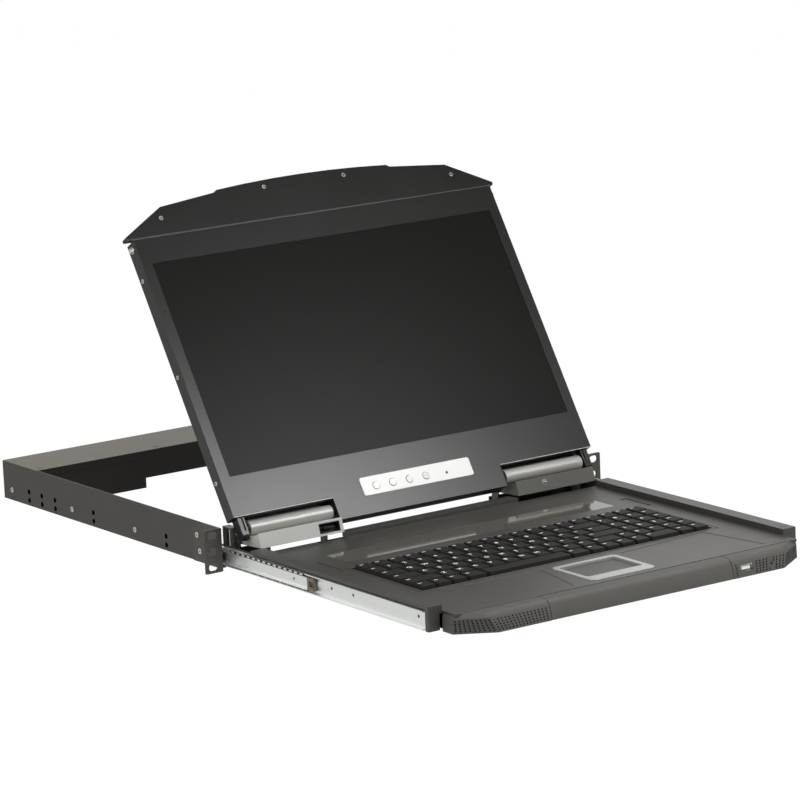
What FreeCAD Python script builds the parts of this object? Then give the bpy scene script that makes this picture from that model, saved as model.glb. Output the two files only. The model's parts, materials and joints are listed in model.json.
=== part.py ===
import FreeCAD, Part
import math
import os
from FreeCAD import Placement, Rotation, Vector

# Rackmount LCD console drawer, one rack unit high, shown pulled out with its display open.
# Millimetres.  X runs across the rack, +Y into the rack, +Z up.  The origin is the centre of the
# plane on which the two rack ears seat.  Left means -X, as seen by a person at the keyboard.

# ---------------------------------------------------------------- driving dimensions
# Rack interface (19 inch rack, one unit)
RACK_WIDTH = 482.6        # over both ears
EAR_HEIGHT = 43.6         # one unit less its clearance
EAR_THICK = 2.0
EAR_FLANGE = 48.0         # how far an ear's side flange reaches back
HOLE_EDGE = 8.75          # from an ear's outer edge to its column of holes
HOLE_PITCH = 31.75        # top slot to bottom slot
SLOT_WIDTH = 7.2
SLOT_LENGTH = 10.5
MIDDLE_HOLE = 7.2         # diameter of the middle hole

# Chassis: two side walls joined by a box at the rear
EAR_REACH = 18.4          # how far an ear stands out past the chassis
CHASSIS_DEPTH = 424.0
WALL_TOP = 21.5
WALL_BOTTOM = -18.9
SHEET = 1.2               # chassis sheet
WALL_LIP = 6.0            # lip folded in along the bottom of a side wall
BOX_DEPTH = 71.0
CABLE_GATE_WIDTH = 182.0  # raised floor in the middle of the rear box
CABLE_GATE_TOP = -8.3
CABLE_GATE_DEPTH = 43.0

# Telescopic slides
SLIDE_Z = -7.7            # mid height of the slides
TRAVEL = 330.0            # of the drawer
PROFILE = 0.9             # thickness of a slide's rolled flange
BALL = 2.2                # ball diameter
RACE_DEPTH = 0.25         # depth of a ball race
BALL_FIT = 0.05           # radial clearance of a ball in its race
RUN_GAP = 1.75            # between facing flanges
INNER_HALF = 9.0          # half height of the drawer member
BALL_PITCH = 13.0
BALL_COUNT = 10           # balls in one row of a front cage
REAR_BALLS = 4            # balls in one row of a rear cage

# Drawer
SLIDE_BAY = 8.4           # between a chassis wall and the tray, for one slide
TRAY_BOTTOM = -18.0
TRAY_REAR = 10.0
PAN_SHEET = 1.0
DECK_TOP = 0.0
DECK_THICK = 2.5
DECK_REAR = -46.0
RAIL_TOP = 6.0            # top of the raised rail along each side of the deck
RAIL_WIDTH = 15.7
RAIL_OVERHANG = 2.7       # how far a rail stands out past the tray
LEDGE_TOP = 4.0           # ledge behind the window strip, between the hinges
LEDGE_DEPTH = 15.0
WINDOW_LENGTH = 324.0
WINDOW_MARGIN = 46.0      # from the deck's rear edge to the window strip
WINDOW_DEPTH = 37.0
LEDGE_CHAMFER = 1.3
LEDGE_SLANT = 3.0

# Keyboard
KEY_PITCH = 18.05
ROW_PITCH = 19.3
KEY_GAP = 1.6
KEY_TAPER = 1.3           # a key's top is this much in from its foot
KEY_TOP = 3.0
KEY_FOOT = -3.0
KEY_TRAVEL = 2.0
KEY_STEM = 3.0
KEYS_MARGIN = 24.5        # from the window strip to the function row
KEY_ROWS = 6
COLUMNS = 19              # key units across the keyboard
BEZEL_GAP = 1.2           # between keys and the edge of the deck's opening

# Touchpad
PAD_CENTRE_X = 0.4
PAD_WIDTH = 76.0
PAD_MARGIN = 17.7         # from the keys to the touchpad
PAD_DEPTH = 66.5
PAD_RIM = 5.5
PAD_CORNER = 6.0
PAD_BASE = 1.5
PAD_FLANGE = 3.0
PAD_PROUD = 0.6            # frame above the deck
PAD_SINK = 1.8             # pad below the deck
PAD_BUTTON_DEPTH = 13.0

# Handle
HANDLE_BOTTOM = -19.0
HANDLE_LAP = 9.5          # how far the touchpad reaches over the handle's back
HANDLE_SETBACK = 11.3     # end of the handle inside the tray's side
HANDLE_DEEP = 39.0        # depth of the handle at its foot
DECK_MARGIN = 8.5         # from the touchpad to the deck's front edge
HANDLE_BREAK = -5.0       # where the steep front face meets the top bevel
GRIP_LENGTH = 95.8        # from the seam to the handle's end
SEAM_GAP = 0.5

# Hinge: a link on each side tilts about a low pivot and carries the barrel of the display
PIVOT_Y = -4.94
PIVOT_Z = 7.0
PIVOT_PIN = 2.5           # radius
AXIS_Y = -18.1            # barrel axis when the display is open
AXIS_Z = 20.3
BARREL_R = 7.2
SHAFT_R = 4.0
SHAFT_FIT = 0.05
LINK_LENGTH = 97.0
LINK_SETBACK = 11.5       # outer end of a link inside the tray's side
BARREL_SETBACK = 1.6      # outer end of a barrel inside its link
BARREL_PROUD = 0.5        # inner end of a barrel past its link
LINK_WALL = 1.6
LINK_END = 1.5
LIFT_CLOSED = 21.0        # degrees that the links turn forward as the display closes

# Display, in its own frame: x across, s up the screen from the barrel axis, n out of the screen
OPEN_ANGLE = 122.14       # degrees from closed
PANEL_SIDE = 5.6          # from the display's side to the chassis' outer face
FACE_N = 8.1              # bezel face in front of the barrel axis
PANEL_DEPTH = 15.0
CHIN_S = -12.0            # lower edge between the hinges
NOTCH_S = 11.0            # lower edge above the hinges
NOTCH_GAP = 4.5           # from the chin to the inner end of a link
NOTCH_LIP = 4.0           # hem that hangs from the back of a notch, behind the barrel
PANEL_TOP_S = 310.8
GLASS_SIDE = 11.6         # bezel beside the glass
GLASS_ABOVE = 26.8        # bezel above the glass
GLASS_BOTTOM_S = 52.7
BEZEL_THICK = 1.5
COVER_SHEET = 1.2
ARM_GAP = 1.6             # from a link's outer end to the arm
ARM_WIDTH = 8.0
ARM_HALF = 5.5
LIP_PROUD = 0.6           # end of the lip past the chassis' outer face
LIP_THICK = 2.0
LIP_SKIRT = 9.0
LIP_STEP = 107.0          # half width of the lip's raised middle
OSD_WIDTH = 133.0
OSD_HEIGHT = 19.1
OSD_CENTRE_X = 1.3
OSD_BOTTOM_S = 6.7
OSD_BUTTON_R = 3.9
OSD_BUTTON_FIT = 0.3
OSD_BUTTON_PITCH = 20.1
OSD_BUTTON_FIRST = -48.5
OSD_BUTTON_S = 15.2

CLEAR = 0.3               # air between pieces of one assembly

# ---------------------------------------------------------------- values that follow
HOLE_COLUMNS = RACK_WIDTH - 2 * HOLE_EDGE
CHASSIS_WIDTH = RACK_WIDTH - 2 * EAR_REACH
TRAY_WIDTH = CHASSIS_WIDTH - 2 * SLIDE_BAY
WALL_OUT = CHASSIS_WIDTH / 2
WALL_IN = WALL_OUT - SHEET
TRAY_SIDE = TRAY_WIDTH / 2
BOX_FRONT = CHASSIS_DEPTH - BOX_DEPTH
BACK_N = FACE_N - PANEL_DEPTH
RAIL_OUTER = TRAY_SIDE + RAIL_OVERHANG
WINDOW_REAR = DECK_REAR - WINDOW_MARGIN
KEYS_REAR = WINDOW_REAR - WINDOW_DEPTH - KEYS_MARGIN
KEYS_FRONT = KEYS_REAR - KEY_ROWS * ROW_PITCH
PAD_REAR = KEYS_FRONT - PAD_MARGIN
PAD_FRONT = PAD_REAR - PAD_DEPTH
HANDLE_BACK = PAD_FRONT + HANDLE_LAP
HANDLE_HALF = TRAY_SIDE - HANDLE_SETBACK
HANDLE_FRONT = HANDLE_BACK - HANDLE_DEEP
GRIP_SEAM = HANDLE_HALF - GRIP_LENGTH
DECK_FRONT = PAD_FRONT - DECK_MARGIN
RAIL_FRONT = HANDLE_BACK + 2
LINK_OUTER = TRAY_SIDE - LINK_SETBACK
LINK_INNER = LINK_OUTER - LINK_LENGTH
BARREL_OUTER = LINK_OUTER - BARREL_SETBACK
BARREL_INNER = LINK_INNER - BARREL_PROUD
NOTCH_INNER = LINK_INNER - NOTCH_GAP
ARM_INNER = LINK_OUTER + ARM_GAP
PANEL_WIDTH = CHASSIS_WIDTH - 2 * PANEL_SIDE
GLASS_WIDTH = PANEL_WIDTH - 2 * GLASS_SIDE
GLASS_HEIGHT = PANEL_TOP_S - GLASS_ABOVE - GLASS_BOTTOM_S
LIP_TIP = WALL_OUT + LIP_PROUD
LINK_TRAVEL = TRAVEL / 2
FAR = 600.0                  # past every face, for a cut that runs right through
KEYS_WIDTH = COLUMNS * KEY_PITCH


# ---------------------------------------------------------------- helpers
def box(x0, x1, y0, y1, z0, z1):
    low = Vector(min(x0, x1), min(y0, y1), min(z0, z1))
    return Part.makeBox(abs(x1 - x0), abs(y1 - y0), abs(z1 - z0), low)


def face_of(points):
    return Part.Face(Part.makePolygon(points + [points[0]]))


def prism_x(points, x0, x1):
    """Outline of (y, z) points, drawn out from x0 to x1."""
    return face_of([Vector(x0, y, z) for y, z in points]).extrude(Vector(x1 - x0, 0, 0))


def prism_y(points, y0, y1):
    """Outline of (x, z) points, drawn out from y0 to y1."""
    return face_of([Vector(x, y0, z) for x, z in points]).extrude(Vector(0, y1 - y0, 0))


def prism_z(points, z0, z1):
    """Outline of (x, y) points, drawn out from z0 to z1."""
    return face_of([Vector(x, y, z0) for x, y in points]).extrude(Vector(0, 0, z1 - z0))


def rod_x(x0, x1, y, z, radius):
    return Part.makeCylinder(radius, abs(x1 - x0), Vector(min(x0, x1), y, z), Vector(1, 0, 0))


def rod_y(x, y0, y1, z, radius):
    return Part.makeCylinder(radius, abs(y1 - y0), Vector(x, min(y0, y1), z), Vector(0, 1, 0))


def rod_z(x, y, z0, z1, radius):
    return Part.makeCylinder(radius, abs(z1 - z0), Vector(x, y, min(z0, z1)))


def mirrored(shape):
    return shape.mirror(Vector(0, 0, 0), Vector(1, 0, 0))


def pair(shape):
    """A right-hand shape and its left-hand twin."""
    return [shape, mirrored(shape)]


def fused(shapes):
    first = shapes[0]
    return first.fuse(shapes[1:]).removeSplitter() if len(shapes) > 1 else first


def cut(shape, tools):
    return shape.cut(Part.makeCompound(tools))


def rounded(shape, radius, axis):
    """Round the edges of a plain block that run along one axis."""
    edges = [e for e in shape.Edges if abs(e.tangentAt(e.FirstParameter).dot(axis)) > 0.99]
    return shape.makeFillet(radius, edges)


def slot_tool(x, z, length, width, y0, y1):
    """Slot along X through a plate that faces Y."""
    reach = (length - width) / 2
    ends = [rod_y(x + side * reach, y0, y1, z, width / 2) for side in (-1, 1)]
    return fused(ends + [box(x - reach, x + reach, y0, y1, z - width / 2, z + width / 2)])


def save(name, solids):
    """Write one node, as one solid or a group of separate solids."""
    parts = solids if isinstance(solids, list) else [solids]
    pieces = [solid for part in parts for solid in part.Solids]
    shape = pieces[0] if len(pieces) == 1 else Part.makeCompound(pieces)
    shape.exportStep("parts/" + name + ".step")
    print("%-24s %3d solids" % (name, len(pieces)))


def save_sides(name, right):
    """Write right-hand solids and their mirror images as two nodes."""
    parts = right if isinstance(right, list) else [right]
    save(name + "_right", parts)
    save(name + "_left", [mirrored(part) for part in parts])


# ---------------------------------------------------------------- chassis
SLIDE_SCREWS = [35.0, 159.0, 282.5]      # along the wall, one in every fixing hole
BOX_SCREW = BOX_FRONT + 53.0
EAR_SCREW_Z = 8.2
VENT_Y = [100.0, 240.5, 317.6, BOX_FRONT - 8.2, BOX_FRONT + 18.0]
VENT_SPREAD = 4.5
SCREW_R = 2.9
SCREW_HIGH = 0.8
CHASSIS_HOLE_R = 1.3


def side_wall():
    wall = box(WALL_IN, WALL_OUT, 0, CHASSIS_DEPTH, WALL_BOTTOM, WALL_TOP - SHEET)
    crest = box(WALL_IN, WALL_OUT, 0, BOX_FRONT, WALL_TOP - SHEET, WALL_TOP)
    lip = box(WALL_OUT - WALL_LIP, WALL_IN, 0, BOX_FRONT - CLEAR, WALL_BOTTOM, WALL_BOTTOM + SHEET)
    holes = []
    for y in VENT_Y:
        for z in (SLIDE_Z - 1 + VENT_SPREAD, SLIDE_Z - 1 - VENT_SPREAD):
            holes.append(rod_x(WALL_IN - 1, WALL_OUT + 1, y, z, CHASSIS_HOLE_R))
    return cut(fused([wall, crest, lip]), holes)


def rack_ear():
    half = EAR_HEIGHT / 2
    plate = box(WALL_IN, RACK_WIDTH / 2, -EAR_THICK, 0, -half, half)
    plate = rounded(plate, 1.2, Vector(0, 1, 0))
    outer = WALL_OUT + SHEET
    profile = [(-EAR_THICK / 2, WALL_BOTTOM), (EAR_FLANGE, WALL_BOTTOM), (EAR_FLANGE, WALL_TOP - 7.5),
               (EAR_FLANGE * 0.6, WALL_TOP + 0.2), (-EAR_THICK / 2, WALL_TOP + 0.2)]
    flange = prism_x(profile, WALL_OUT, outer)
    x = HOLE_COLUMNS / 2
    tools = [slot_tool(x, side * HOLE_PITCH / 2, SLOT_LENGTH, SLOT_WIDTH, -EAR_THICK - 1, 1)
             for side in (-1, 1)]
    tools.append(rod_y(x, -EAR_THICK - 1, 1, 0, MIDDLE_HOLE / 2))
    return cut(fused([plate, flange]), tools)


INLET_X = 53.7 - WALL_IN
INLET_WIDTH = 48.0
INLET_HEIGHT = 23.0
ROCKER_X = INLET_X + 46.0
ROCKER_WIDTH = 13.0
ROCKER_HEIGHT = 21.0
ROCKER_PIVOT = 1.5        # pivot behind the panel's rear face
ROCKER_PIN = 1.2
ROCKER_TILT = 9.0
PORT_Z = -9.0
# each rear port: centre x, width, height
REAR_PORTS = [(-40.0, 40.0, 11.0), (20.0, 13.0, 11.0), (62.0, 40.0, 11.0), (110.0, 12.0, 12.0),
              (150.0, 16.0, 13.0)]
REAR_MID_Z = 0.5
PORT_SIT = 0.1            # a port's gap in its cut-out


def rear_box():
    """Floor of the electronics box, folded up over the gate where cables pass."""
    side = WALL_IN - 0.1
    gate = CABLE_GATE_WIDTH / 2
    y0 = BOX_FRONT + SHEET
    y1 = CHASSIS_DEPTH - SHEET
    gate_back = BOX_FRONT + CABLE_GATE_DEPTH
    plate = box(-side, side, y0, y1, WALL_BOTTOM, WALL_BOTTOM + SHEET)
    raised = box(-gate - SHEET, gate + SHEET, y0, gate_back + SHEET, WALL_BOTTOM, CABLE_GATE_TOP + SHEET)
    tunnel = box(-gate, gate, y0 - 1, gate_back, WALL_BOTTOM - 1, CABLE_GATE_TOP)
    return fused([plate, raised]).cut(tunnel)


def box_front():
    """Front wall of the electronics box, open over the cable gate."""
    side = WALL_IN - 0.1
    gate = CABLE_GATE_WIDTH / 2
    wall = box(-side, side, BOX_FRONT, BOX_FRONT + SHEET, WALL_BOTTOM, WALL_TOP - SHEET)
    return wall.cut(box(-gate, gate, BOX_FRONT - 1, BOX_FRONT + SHEET + 1, WALL_BOTTOM - 1, CABLE_GATE_TOP))


def rear_panel():
    """Rear wall of the electronics box with the cut-outs of its sockets."""
    side = WALL_IN - 0.1
    rear = CHASSIS_DEPTH
    wall = box(-side, side, rear - SHEET, rear, WALL_BOTTOM, WALL_TOP - SHEET)
    cuts = [(x, w, h, PORT_Z) for x, w, h in REAR_PORTS]
    cuts += [(INLET_X, INLET_WIDTH - 8, INLET_HEIGHT - 3, REAR_MID_Z),
             (ROCKER_X, ROCKER_WIDTH, ROCKER_HEIGHT, REAR_MID_Z)]
    return cut(wall, [box(x - w / 2 - PORT_SIT, x + w / 2 + PORT_SIT, rear - SHEET - 1, rear + 1,
                          z - h / 2 - PORT_SIT, z + h / 2 + PORT_SIT) for x, w, h, z in cuts])


def rear_box_cover():
    plate = box(-WALL_OUT, WALL_OUT, BOX_FRONT, CHASSIS_DEPTH, WALL_TOP - SHEET, WALL_TOP)
    hem = box(-WALL_IN + 1, WALL_IN - 1, BOX_FRONT - SHEET, BOX_FRONT, WALL_TOP - 7, WALL_TOP)
    return fused([plate, hem])


def power_inlet():
    """Three-pin appliance inlet, open to the rear."""
    rear = CHASSIS_DEPTH
    w = INLET_WIDTH - 8
    h = INLET_HEIGHT - 3
    flange = box(INLET_X - INLET_WIDTH / 2, INLET_X + INLET_WIDTH / 2, rear, rear + 2,
                 REAR_MID_Z - INLET_HEIGHT / 2, REAR_MID_Z + INLET_HEIGHT / 2)
    body = box(INLET_X - w / 2, INLET_X + w / 2, rear - 20, rear, REAR_MID_Z - h / 2, REAR_MID_Z + h / 2)
    cavity = box(INLET_X - 12.2, INLET_X + 12.2, rear - 15, rear + 3, REAR_MID_Z - 8.2, REAR_MID_Z + 8.2)
    shell = fused([flange, body]).cut(cavity)
    blades = [box(INLET_X + dx - 1, INLET_X + dx + 1, rear - 16, rear - 1, REAR_MID_Z + dz, REAR_MID_Z + dz + 4)
              for dx, dz in ((-7, -1.5), (0, 3), (7, -1.5))]
    return fused([shell] + blades)


def power_switch():
    """Frame of the mains switch and the rocker that turns in it, drawn with its top half out."""
    rear = CHASSIS_DEPTH
    w = ROCKER_WIDTH
    h = ROCKER_HEIGHT
    body = box(ROCKER_X - w / 2, ROCKER_X + w / 2, rear - 14, rear, REAR_MID_Z - h / 2, REAR_MID_Z + h / 2)
    rim = box(ROCKER_X - w / 2 - 1, ROCKER_X + w / 2 + 1, rear, rear + 1.5,
              REAR_MID_Z - h / 2 - 1, REAR_MID_Z + h / 2 + 1)
    well = box(ROCKER_X - w / 2 + 1, ROCKER_X + w / 2 - 1, rear - 9, rear + 2,
               REAR_MID_Z - h / 2 + 1, REAR_MID_Z + h / 2 - 1)
    y = rear - ROCKER_PIVOT
    bore = rod_x(ROCKER_X - w / 2 - 0.5, ROCKER_X + w / 2 + 0.5, y, REAR_MID_Z, ROCKER_PIN + SHAFT_FIT)
    frame = fused([body, rim]).cut(well).cut(bore)
    half = h / 2 - 2.8
    outline = [(y - 3.5, -half * 0.6), (y + 3.5, -half), (y + 2.8, 0), (y + 3.5, half), (y - 3.5, half * 0.6)]
    outline = [(py, REAR_MID_Z + pz) for py, pz in outline]
    rocker = prism_x(outline, ROCKER_X - w / 2 + 1.4, ROCKER_X + w / 2 - 1.4)
    rocker.rotate(Vector(0, y, REAR_MID_Z), Vector(1, 0, 0), -ROCKER_TILT)
    pin = rod_x(ROCKER_X - w / 2, ROCKER_X + w / 2, y, REAR_MID_Z, ROCKER_PIN)
    return frame, fused([rocker, pin])


def rear_ports():
    """Connector shells in the rear panel, each an open socket with a tongue."""
    shells = []
    rear = CHASSIS_DEPTH
    for x, w, h in REAR_PORTS:
        body = box(x - w / 2, x + w / 2, rear - 14, rear + 1.5, PORT_Z - h / 2, PORT_Z + h / 2)
        mouth = box(x - w / 2 + 1, x + w / 2 - 1, rear - 8, rear + 2, PORT_Z - h / 2 + 1, PORT_Z + h / 2 - 1)
        tongue = box(x - w / 2 + 3, x + w / 2 - 3, rear - 9, rear - 1, PORT_Z - 1, PORT_Z + 1)
        shells.append(fused([body.cut(mouth), tongue]))
    return shells


def main_board():
    """Circuit board on standoffs with its larger chips and a heat sink."""
    floor = WALL_BOTTOM + SHEET
    gate = CABLE_GATE_WIDTH / 2 + SHEET + 1
    y0 = BOX_FRONT + CABLE_GATE_DEPTH + SHEET + 1
    side = WALL_IN - 16.7
    sheet_a = box(-70, side, y0, CHASSIS_DEPTH - 15, floor + 3, floor + 4.2)
    sheet_b = box(gate, side, BOX_FRONT + 6, CHASSIS_DEPTH - 15, floor + 3, floor + 4.2)
    stands = [rod_z(x, y, floor, floor + 3, 2.5) for x, y in
              ((-60, y0 + 5), (side - 10, y0 + 5), (side - 10, BOX_FRONT + 14), (gate + 8, BOX_FRONT + 14))]
    chips = [box(x, x + w, BOX_FRONT + 12, BOX_FRONT + 12 + w, floor + 4.2, floor + 4.2 + t)
             for x, w, t in ((115, 22, 2), (150, 15, 1.5))]
    fins = [box(116 + 4 * i, 118 + 4 * i, BOX_FRONT + 13, BOX_FRONT + 33, floor + 6.2, floor + 14)
            for i in range(5)]
    return fused([sheet_a, sheet_b] + stands + chips + fins)


def power_supply():
    floor = WALL_BOTTOM + SHEET
    outer = -WALL_IN + 3.7
    inner = -CABLE_GATE_WIDTH / 2 - SHEET - 3.8
    top = floor + 30
    can = box(outer, inner, BOX_FRONT + 4, CHASSIS_DEPTH - 24, floor, top)
    slots = [box(outer + 12 * i, outer + 4 + 12 * i, BOX_FRONT + 14, CHASSIS_DEPTH - 34, top - 2, top + 1)
             for i in range(1, 9)]
    return cut(can, slots)


def chassis_screws():
    heads = []
    spots = [(y, SLIDE_Z) for y in SLIDE_SCREWS + [BOX_SCREW]] + [(SLIDE_SCREWS[0] + 4, EAR_SCREW_Z)]
    for y, z in spots:
        on_ear = y < EAR_FLANGE
        seat = WALL_OUT + (SHEET if on_ear else 0)
        heads += pair(rod_x(seat, seat + SCREW_HIGH, y, z, SCREW_R))
    for x in (WALL_IN - 8, WALL_IN - 150):
        heads += pair(rod_z(x, BOX_FRONT + 10, WALL_TOP, WALL_TOP + 0.3, SCREW_R))
    return heads


# ---------------------------------------------------------------- telescopic slides
# Heights are half heights about SLIDE_Z; u is measured outward from the tray's side face.
FLANGE_IN = INNER_HALF - 1.0                   # inner face of the drawer member's flange
MIDDLE_OUT = FLANGE_IN - RUN_GAP               # outer face of the middle member's flange
MIDDLE_IN = MIDDLE_OUT - PROFILE
OUTER_OUT = MIDDLE_IN - RUN_GAP                # outer face of the chassis member's flange
OUTER_IN = OUTER_OUT - PROFILE
INNER_WEB = 1.0
INNER_REACH = 5.2
CAGE_U = 1.35
CAGE_SHEET = 0.3
MIDDLE_U = 2.0
MIDDLE_WEB = 0.8
MIDDLE_REACH = 5.8
REAR_CAGE_U = 3.1
OUTER_U = 3.8
BALL_U = 3.5
REAR_BALL_U = 4.9
OUTER_WEB = 1.0
MIDDLE_FRONT = -147.0
BUMPER = 11.0
OUTER_FRONT = 18.0
OUTER_REAR = BOX_FRONT - 3
MIDDLE_REAR = OUTER_REAR - 2 - LINK_TRAVEL
INNER_FRONT = HANDLE_BACK + 7.5
CAGE_FRONT = MIDDLE_FRONT + 4
REAR_CAGE_FRONT = OUTER_FRONT + 4


def channel(u_web, web, reach, outer, inner, y0, y1, open_out):
    """One rolled member: a web with a flange above and below, on the right-hand side."""
    x0 = TRAY_SIDE + u_web
    x1 = TRAY_SIDE + reach
    walls = [box(x0, x1, y0, y1, SLIDE_Z + side * inner, SLIDE_Z + side * outer) for side in (-1, 1)]
    web_x = (x0, x0 + web) if open_out else (x1 - web, x1)
    walls.append(box(web_x[0], web_x[1], y0, y1, SLIDE_Z - outer, SLIDE_Z + outer))
    return fused(walls)


def race(half, u, y0, y1, sinks_out):
    """Grooves for the balls in the faces at +half and -half; sinks_out cuts away from mid height."""
    groove_r = BALL / 2 + BALL_FIT
    shift = RACE_DEPTH - groove_r if sinks_out else groove_r - RACE_DEPTH
    return [rod_y(TRAY_SIDE + u, y0 - 1, y1 + 1, SLIDE_Z + side * (half + shift), groove_r)
            for side in (-1, 1)]


def slide_inner():
    """Drawer member, screwed to the tray, open towards the chassis."""
    y0 = INNER_FRONT
    y1 = TRAY_REAR
    body = channel(0, INNER_WEB, INNER_REACH, INNER_HALF, FLANGE_IN, y0, y1, True)
    tools = race(FLANGE_IN, BALL_U, y0, y1, True)
    for y in (y0 + 12, y0 + 118, y0 + 154):
        tools.append(rod_x(TRAY_SIDE - 1, TRAY_SIDE + INNER_WEB + 1, y, SLIDE_Z + 1.5, 1.6))
    return cut(body, tools)


def slide_middle():
    y0 = MIDDLE_FRONT
    y1 = MIDDLE_REAR
    body = channel(MIDDLE_U, MIDDLE_WEB, MIDDLE_REACH, MIDDLE_OUT, MIDDLE_IN, y0, y1, True)
    tools = race(MIDDLE_OUT, BALL_U, y0, y1, False) + race(MIDDLE_IN, REAR_BALL_U, y0, y1, True)
    tools.append(rod_x(TRAY_SIDE, TRAY_SIDE + MIDDLE_U + 2, y0 + 26, SLIDE_Z, 1.5))
    return cut(body, tools)


def slide_outer():
    """Chassis member, screwed to the side wall."""
    y0 = OUTER_FRONT
    y1 = OUTER_REAR
    gap = WALL_IN - TRAY_SIDE
    body = channel(OUTER_U, OUTER_WEB, gap, OUTER_OUT, OUTER_IN, y0, y1, False)
    return cut(body, race(OUTER_OUT, REAR_BALL_U, y0, y1, False))


def ball(spot):
    """A ball with few faces: a cube with every edge cut back, its corners on the ball's surface."""
    bevel = 2 - math.sqrt(2)
    half = BALL / 2 / math.sqrt(1 + 2 * (1 - bevel) ** 2)
    cube = Part.makeBox(2 * half, 2 * half, 2 * half, spot - Vector(half, half, half))
    return cube.makeChamfer(bevel * half, cube.Edges)


def ball_cage(u_web, u_reach, half, ball_u, y0, count):
    """A folded retainer strip with a row of balls above and below."""
    length = (count - 1) * BALL_PITCH + 12
    x0 = TRAY_SIDE + u_web
    x1 = TRAY_SIDE + u_reach
    mid = half - RUN_GAP / 2
    thick = CAGE_SHEET
    walls = [box(x0, x1, y0, y0 + length, SLIDE_Z + side * (mid - thick / 2),
                 SLIDE_Z + side * (mid + thick / 2)) for side in (-1, 1)]
    walls.append(box(x0, x0 + thick, y0, y0 + length, SLIDE_Z - mid, SLIDE_Z + mid))
    strip = fused(walls)
    balls = []
    pockets = []
    for i in range(count):
        for side in (-1, 1):
            spot = Vector(TRAY_SIDE + ball_u, y0 + 6 + i * BALL_PITCH, SLIDE_Z + side * mid)
            balls.append(ball(spot))
            pockets.append(Part.makeCylinder(BALL / 2 + BALL_FIT, 3, spot - Vector(0, 0, 1.5)))
    return [cut(strip, pockets)] + balls


def bumper():
    """Plastic stop pressed on the front end of the middle member."""
    y1 = MIDDLE_FRONT
    y0 = y1 - BUMPER
    half = MIDDLE_OUT - 0.2
    block = box(TRAY_SIDE + INNER_WEB + 0.4, TRAY_SIDE + MIDDLE_REACH - 0.4, y0, y1,
                SLIDE_Z - half, SLIDE_Z + half)
    relief = box(TRAY_SIDE + INNER_WEB + 1.6, TRAY_SIDE + MIDDLE_REACH, y0 - 1, y1 - 3,
                 SLIDE_Z - half + 3.2, SLIDE_Z + half - 3.2)
    return block.cut(relief)


# ---------------------------------------------------------------- drawer
SIDE_RECESS_X = RAIL_OUTER - RAIL_WIDTH - 15.5
SIDE_RECESS = (KEYS_REAR, KEYS_REAR + 43.0)
BUMP_Y = RAIL_FRONT + 11.0
GROOVE = 0.9                             # width and depth of the groove round the keyboard
GROOVE_OUT = 3.5
PALM_STEP = 0.4
RAIL_FOOT = RAIL_TOP - 3.4               # underside of a rail, where it rests on the tray's wall
TONGUE = HANDLE_HALF - 3.2               # half width of the tray's front, behind the handle
REAR_LIP = 3.0                           # height of the tray's rear edge
PAD_SEAT = DECK_TOP - DECK_THICK         # underside of the deck, where the touchpad's base bears


def tray_pan():
    x = TRAY_SIDE
    t = PAN_SHEET
    y0 = INNER_FRONT
    y1 = TRAY_REAR
    floor = box(-x, x, y0, y1, TRAY_BOTTOM, TRAY_BOTTOM + t)
    sides = pair(box(x - t, x, y0, y1, TRAY_BOTTOM, RAIL_FOOT))
    rear = box(-x, x, y1 - t, y1, TRAY_BOTTOM, TRAY_BOTTOM + REAR_LIP)
    tongue = box(-TONGUE, TONGUE, HANDLE_BACK, y0, TRAY_BOTTOM, TRAY_BOTTOM + t)
    front = box(-TONGUE, TONGUE, HANDLE_BACK, HANDLE_BACK + t, TRAY_BOTTOM, PAD_SEAT - PAD_BASE - CLEAR)
    return fused([floor, rear, tongue, front] + sides)


def palm_panel():
    """Shallow panel in the palm rest, right of the touchpad."""
    inner = PAD_CENTRE_X + PAD_WIDTH / 2
    points = [(inner + 8, PAD_REAR + 1), (KEYS_WIDTH / 2 - 16, KEYS_FRONT - 7),
              (KEYS_WIDTH / 2 - 4, DECK_FRONT + 7), (inner + 22, DECK_FRONT + 7)]
    return prism_z(points, DECK_TOP - PALM_STEP, DECK_TOP + 1)


def deck_ledge():
    """Ledge along the deck's rear edge, relieved where the display's chin swings past it."""
    y1 = DECK_REAR + LEDGE_DEPTH
    half = NOTCH_INNER + 2
    section = [(DECK_REAR, PAD_SEAT), (y1, PAD_SEAT), (y1, LEDGE_TOP - LEDGE_CHAMFER),
               (y1 - LEDGE_CHAMFER, LEDGE_TOP), (DECK_REAR, LEDGE_TOP)]
    plan = [(-half, DECK_REAR), (half, DECK_REAR), (half - LEDGE_SLANT, y1), (LEDGE_SLANT - half, y1)]
    return prism_x(section, -half, half).common(prism_z(plan, PAD_SEAT, LEDGE_TOP))


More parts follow.
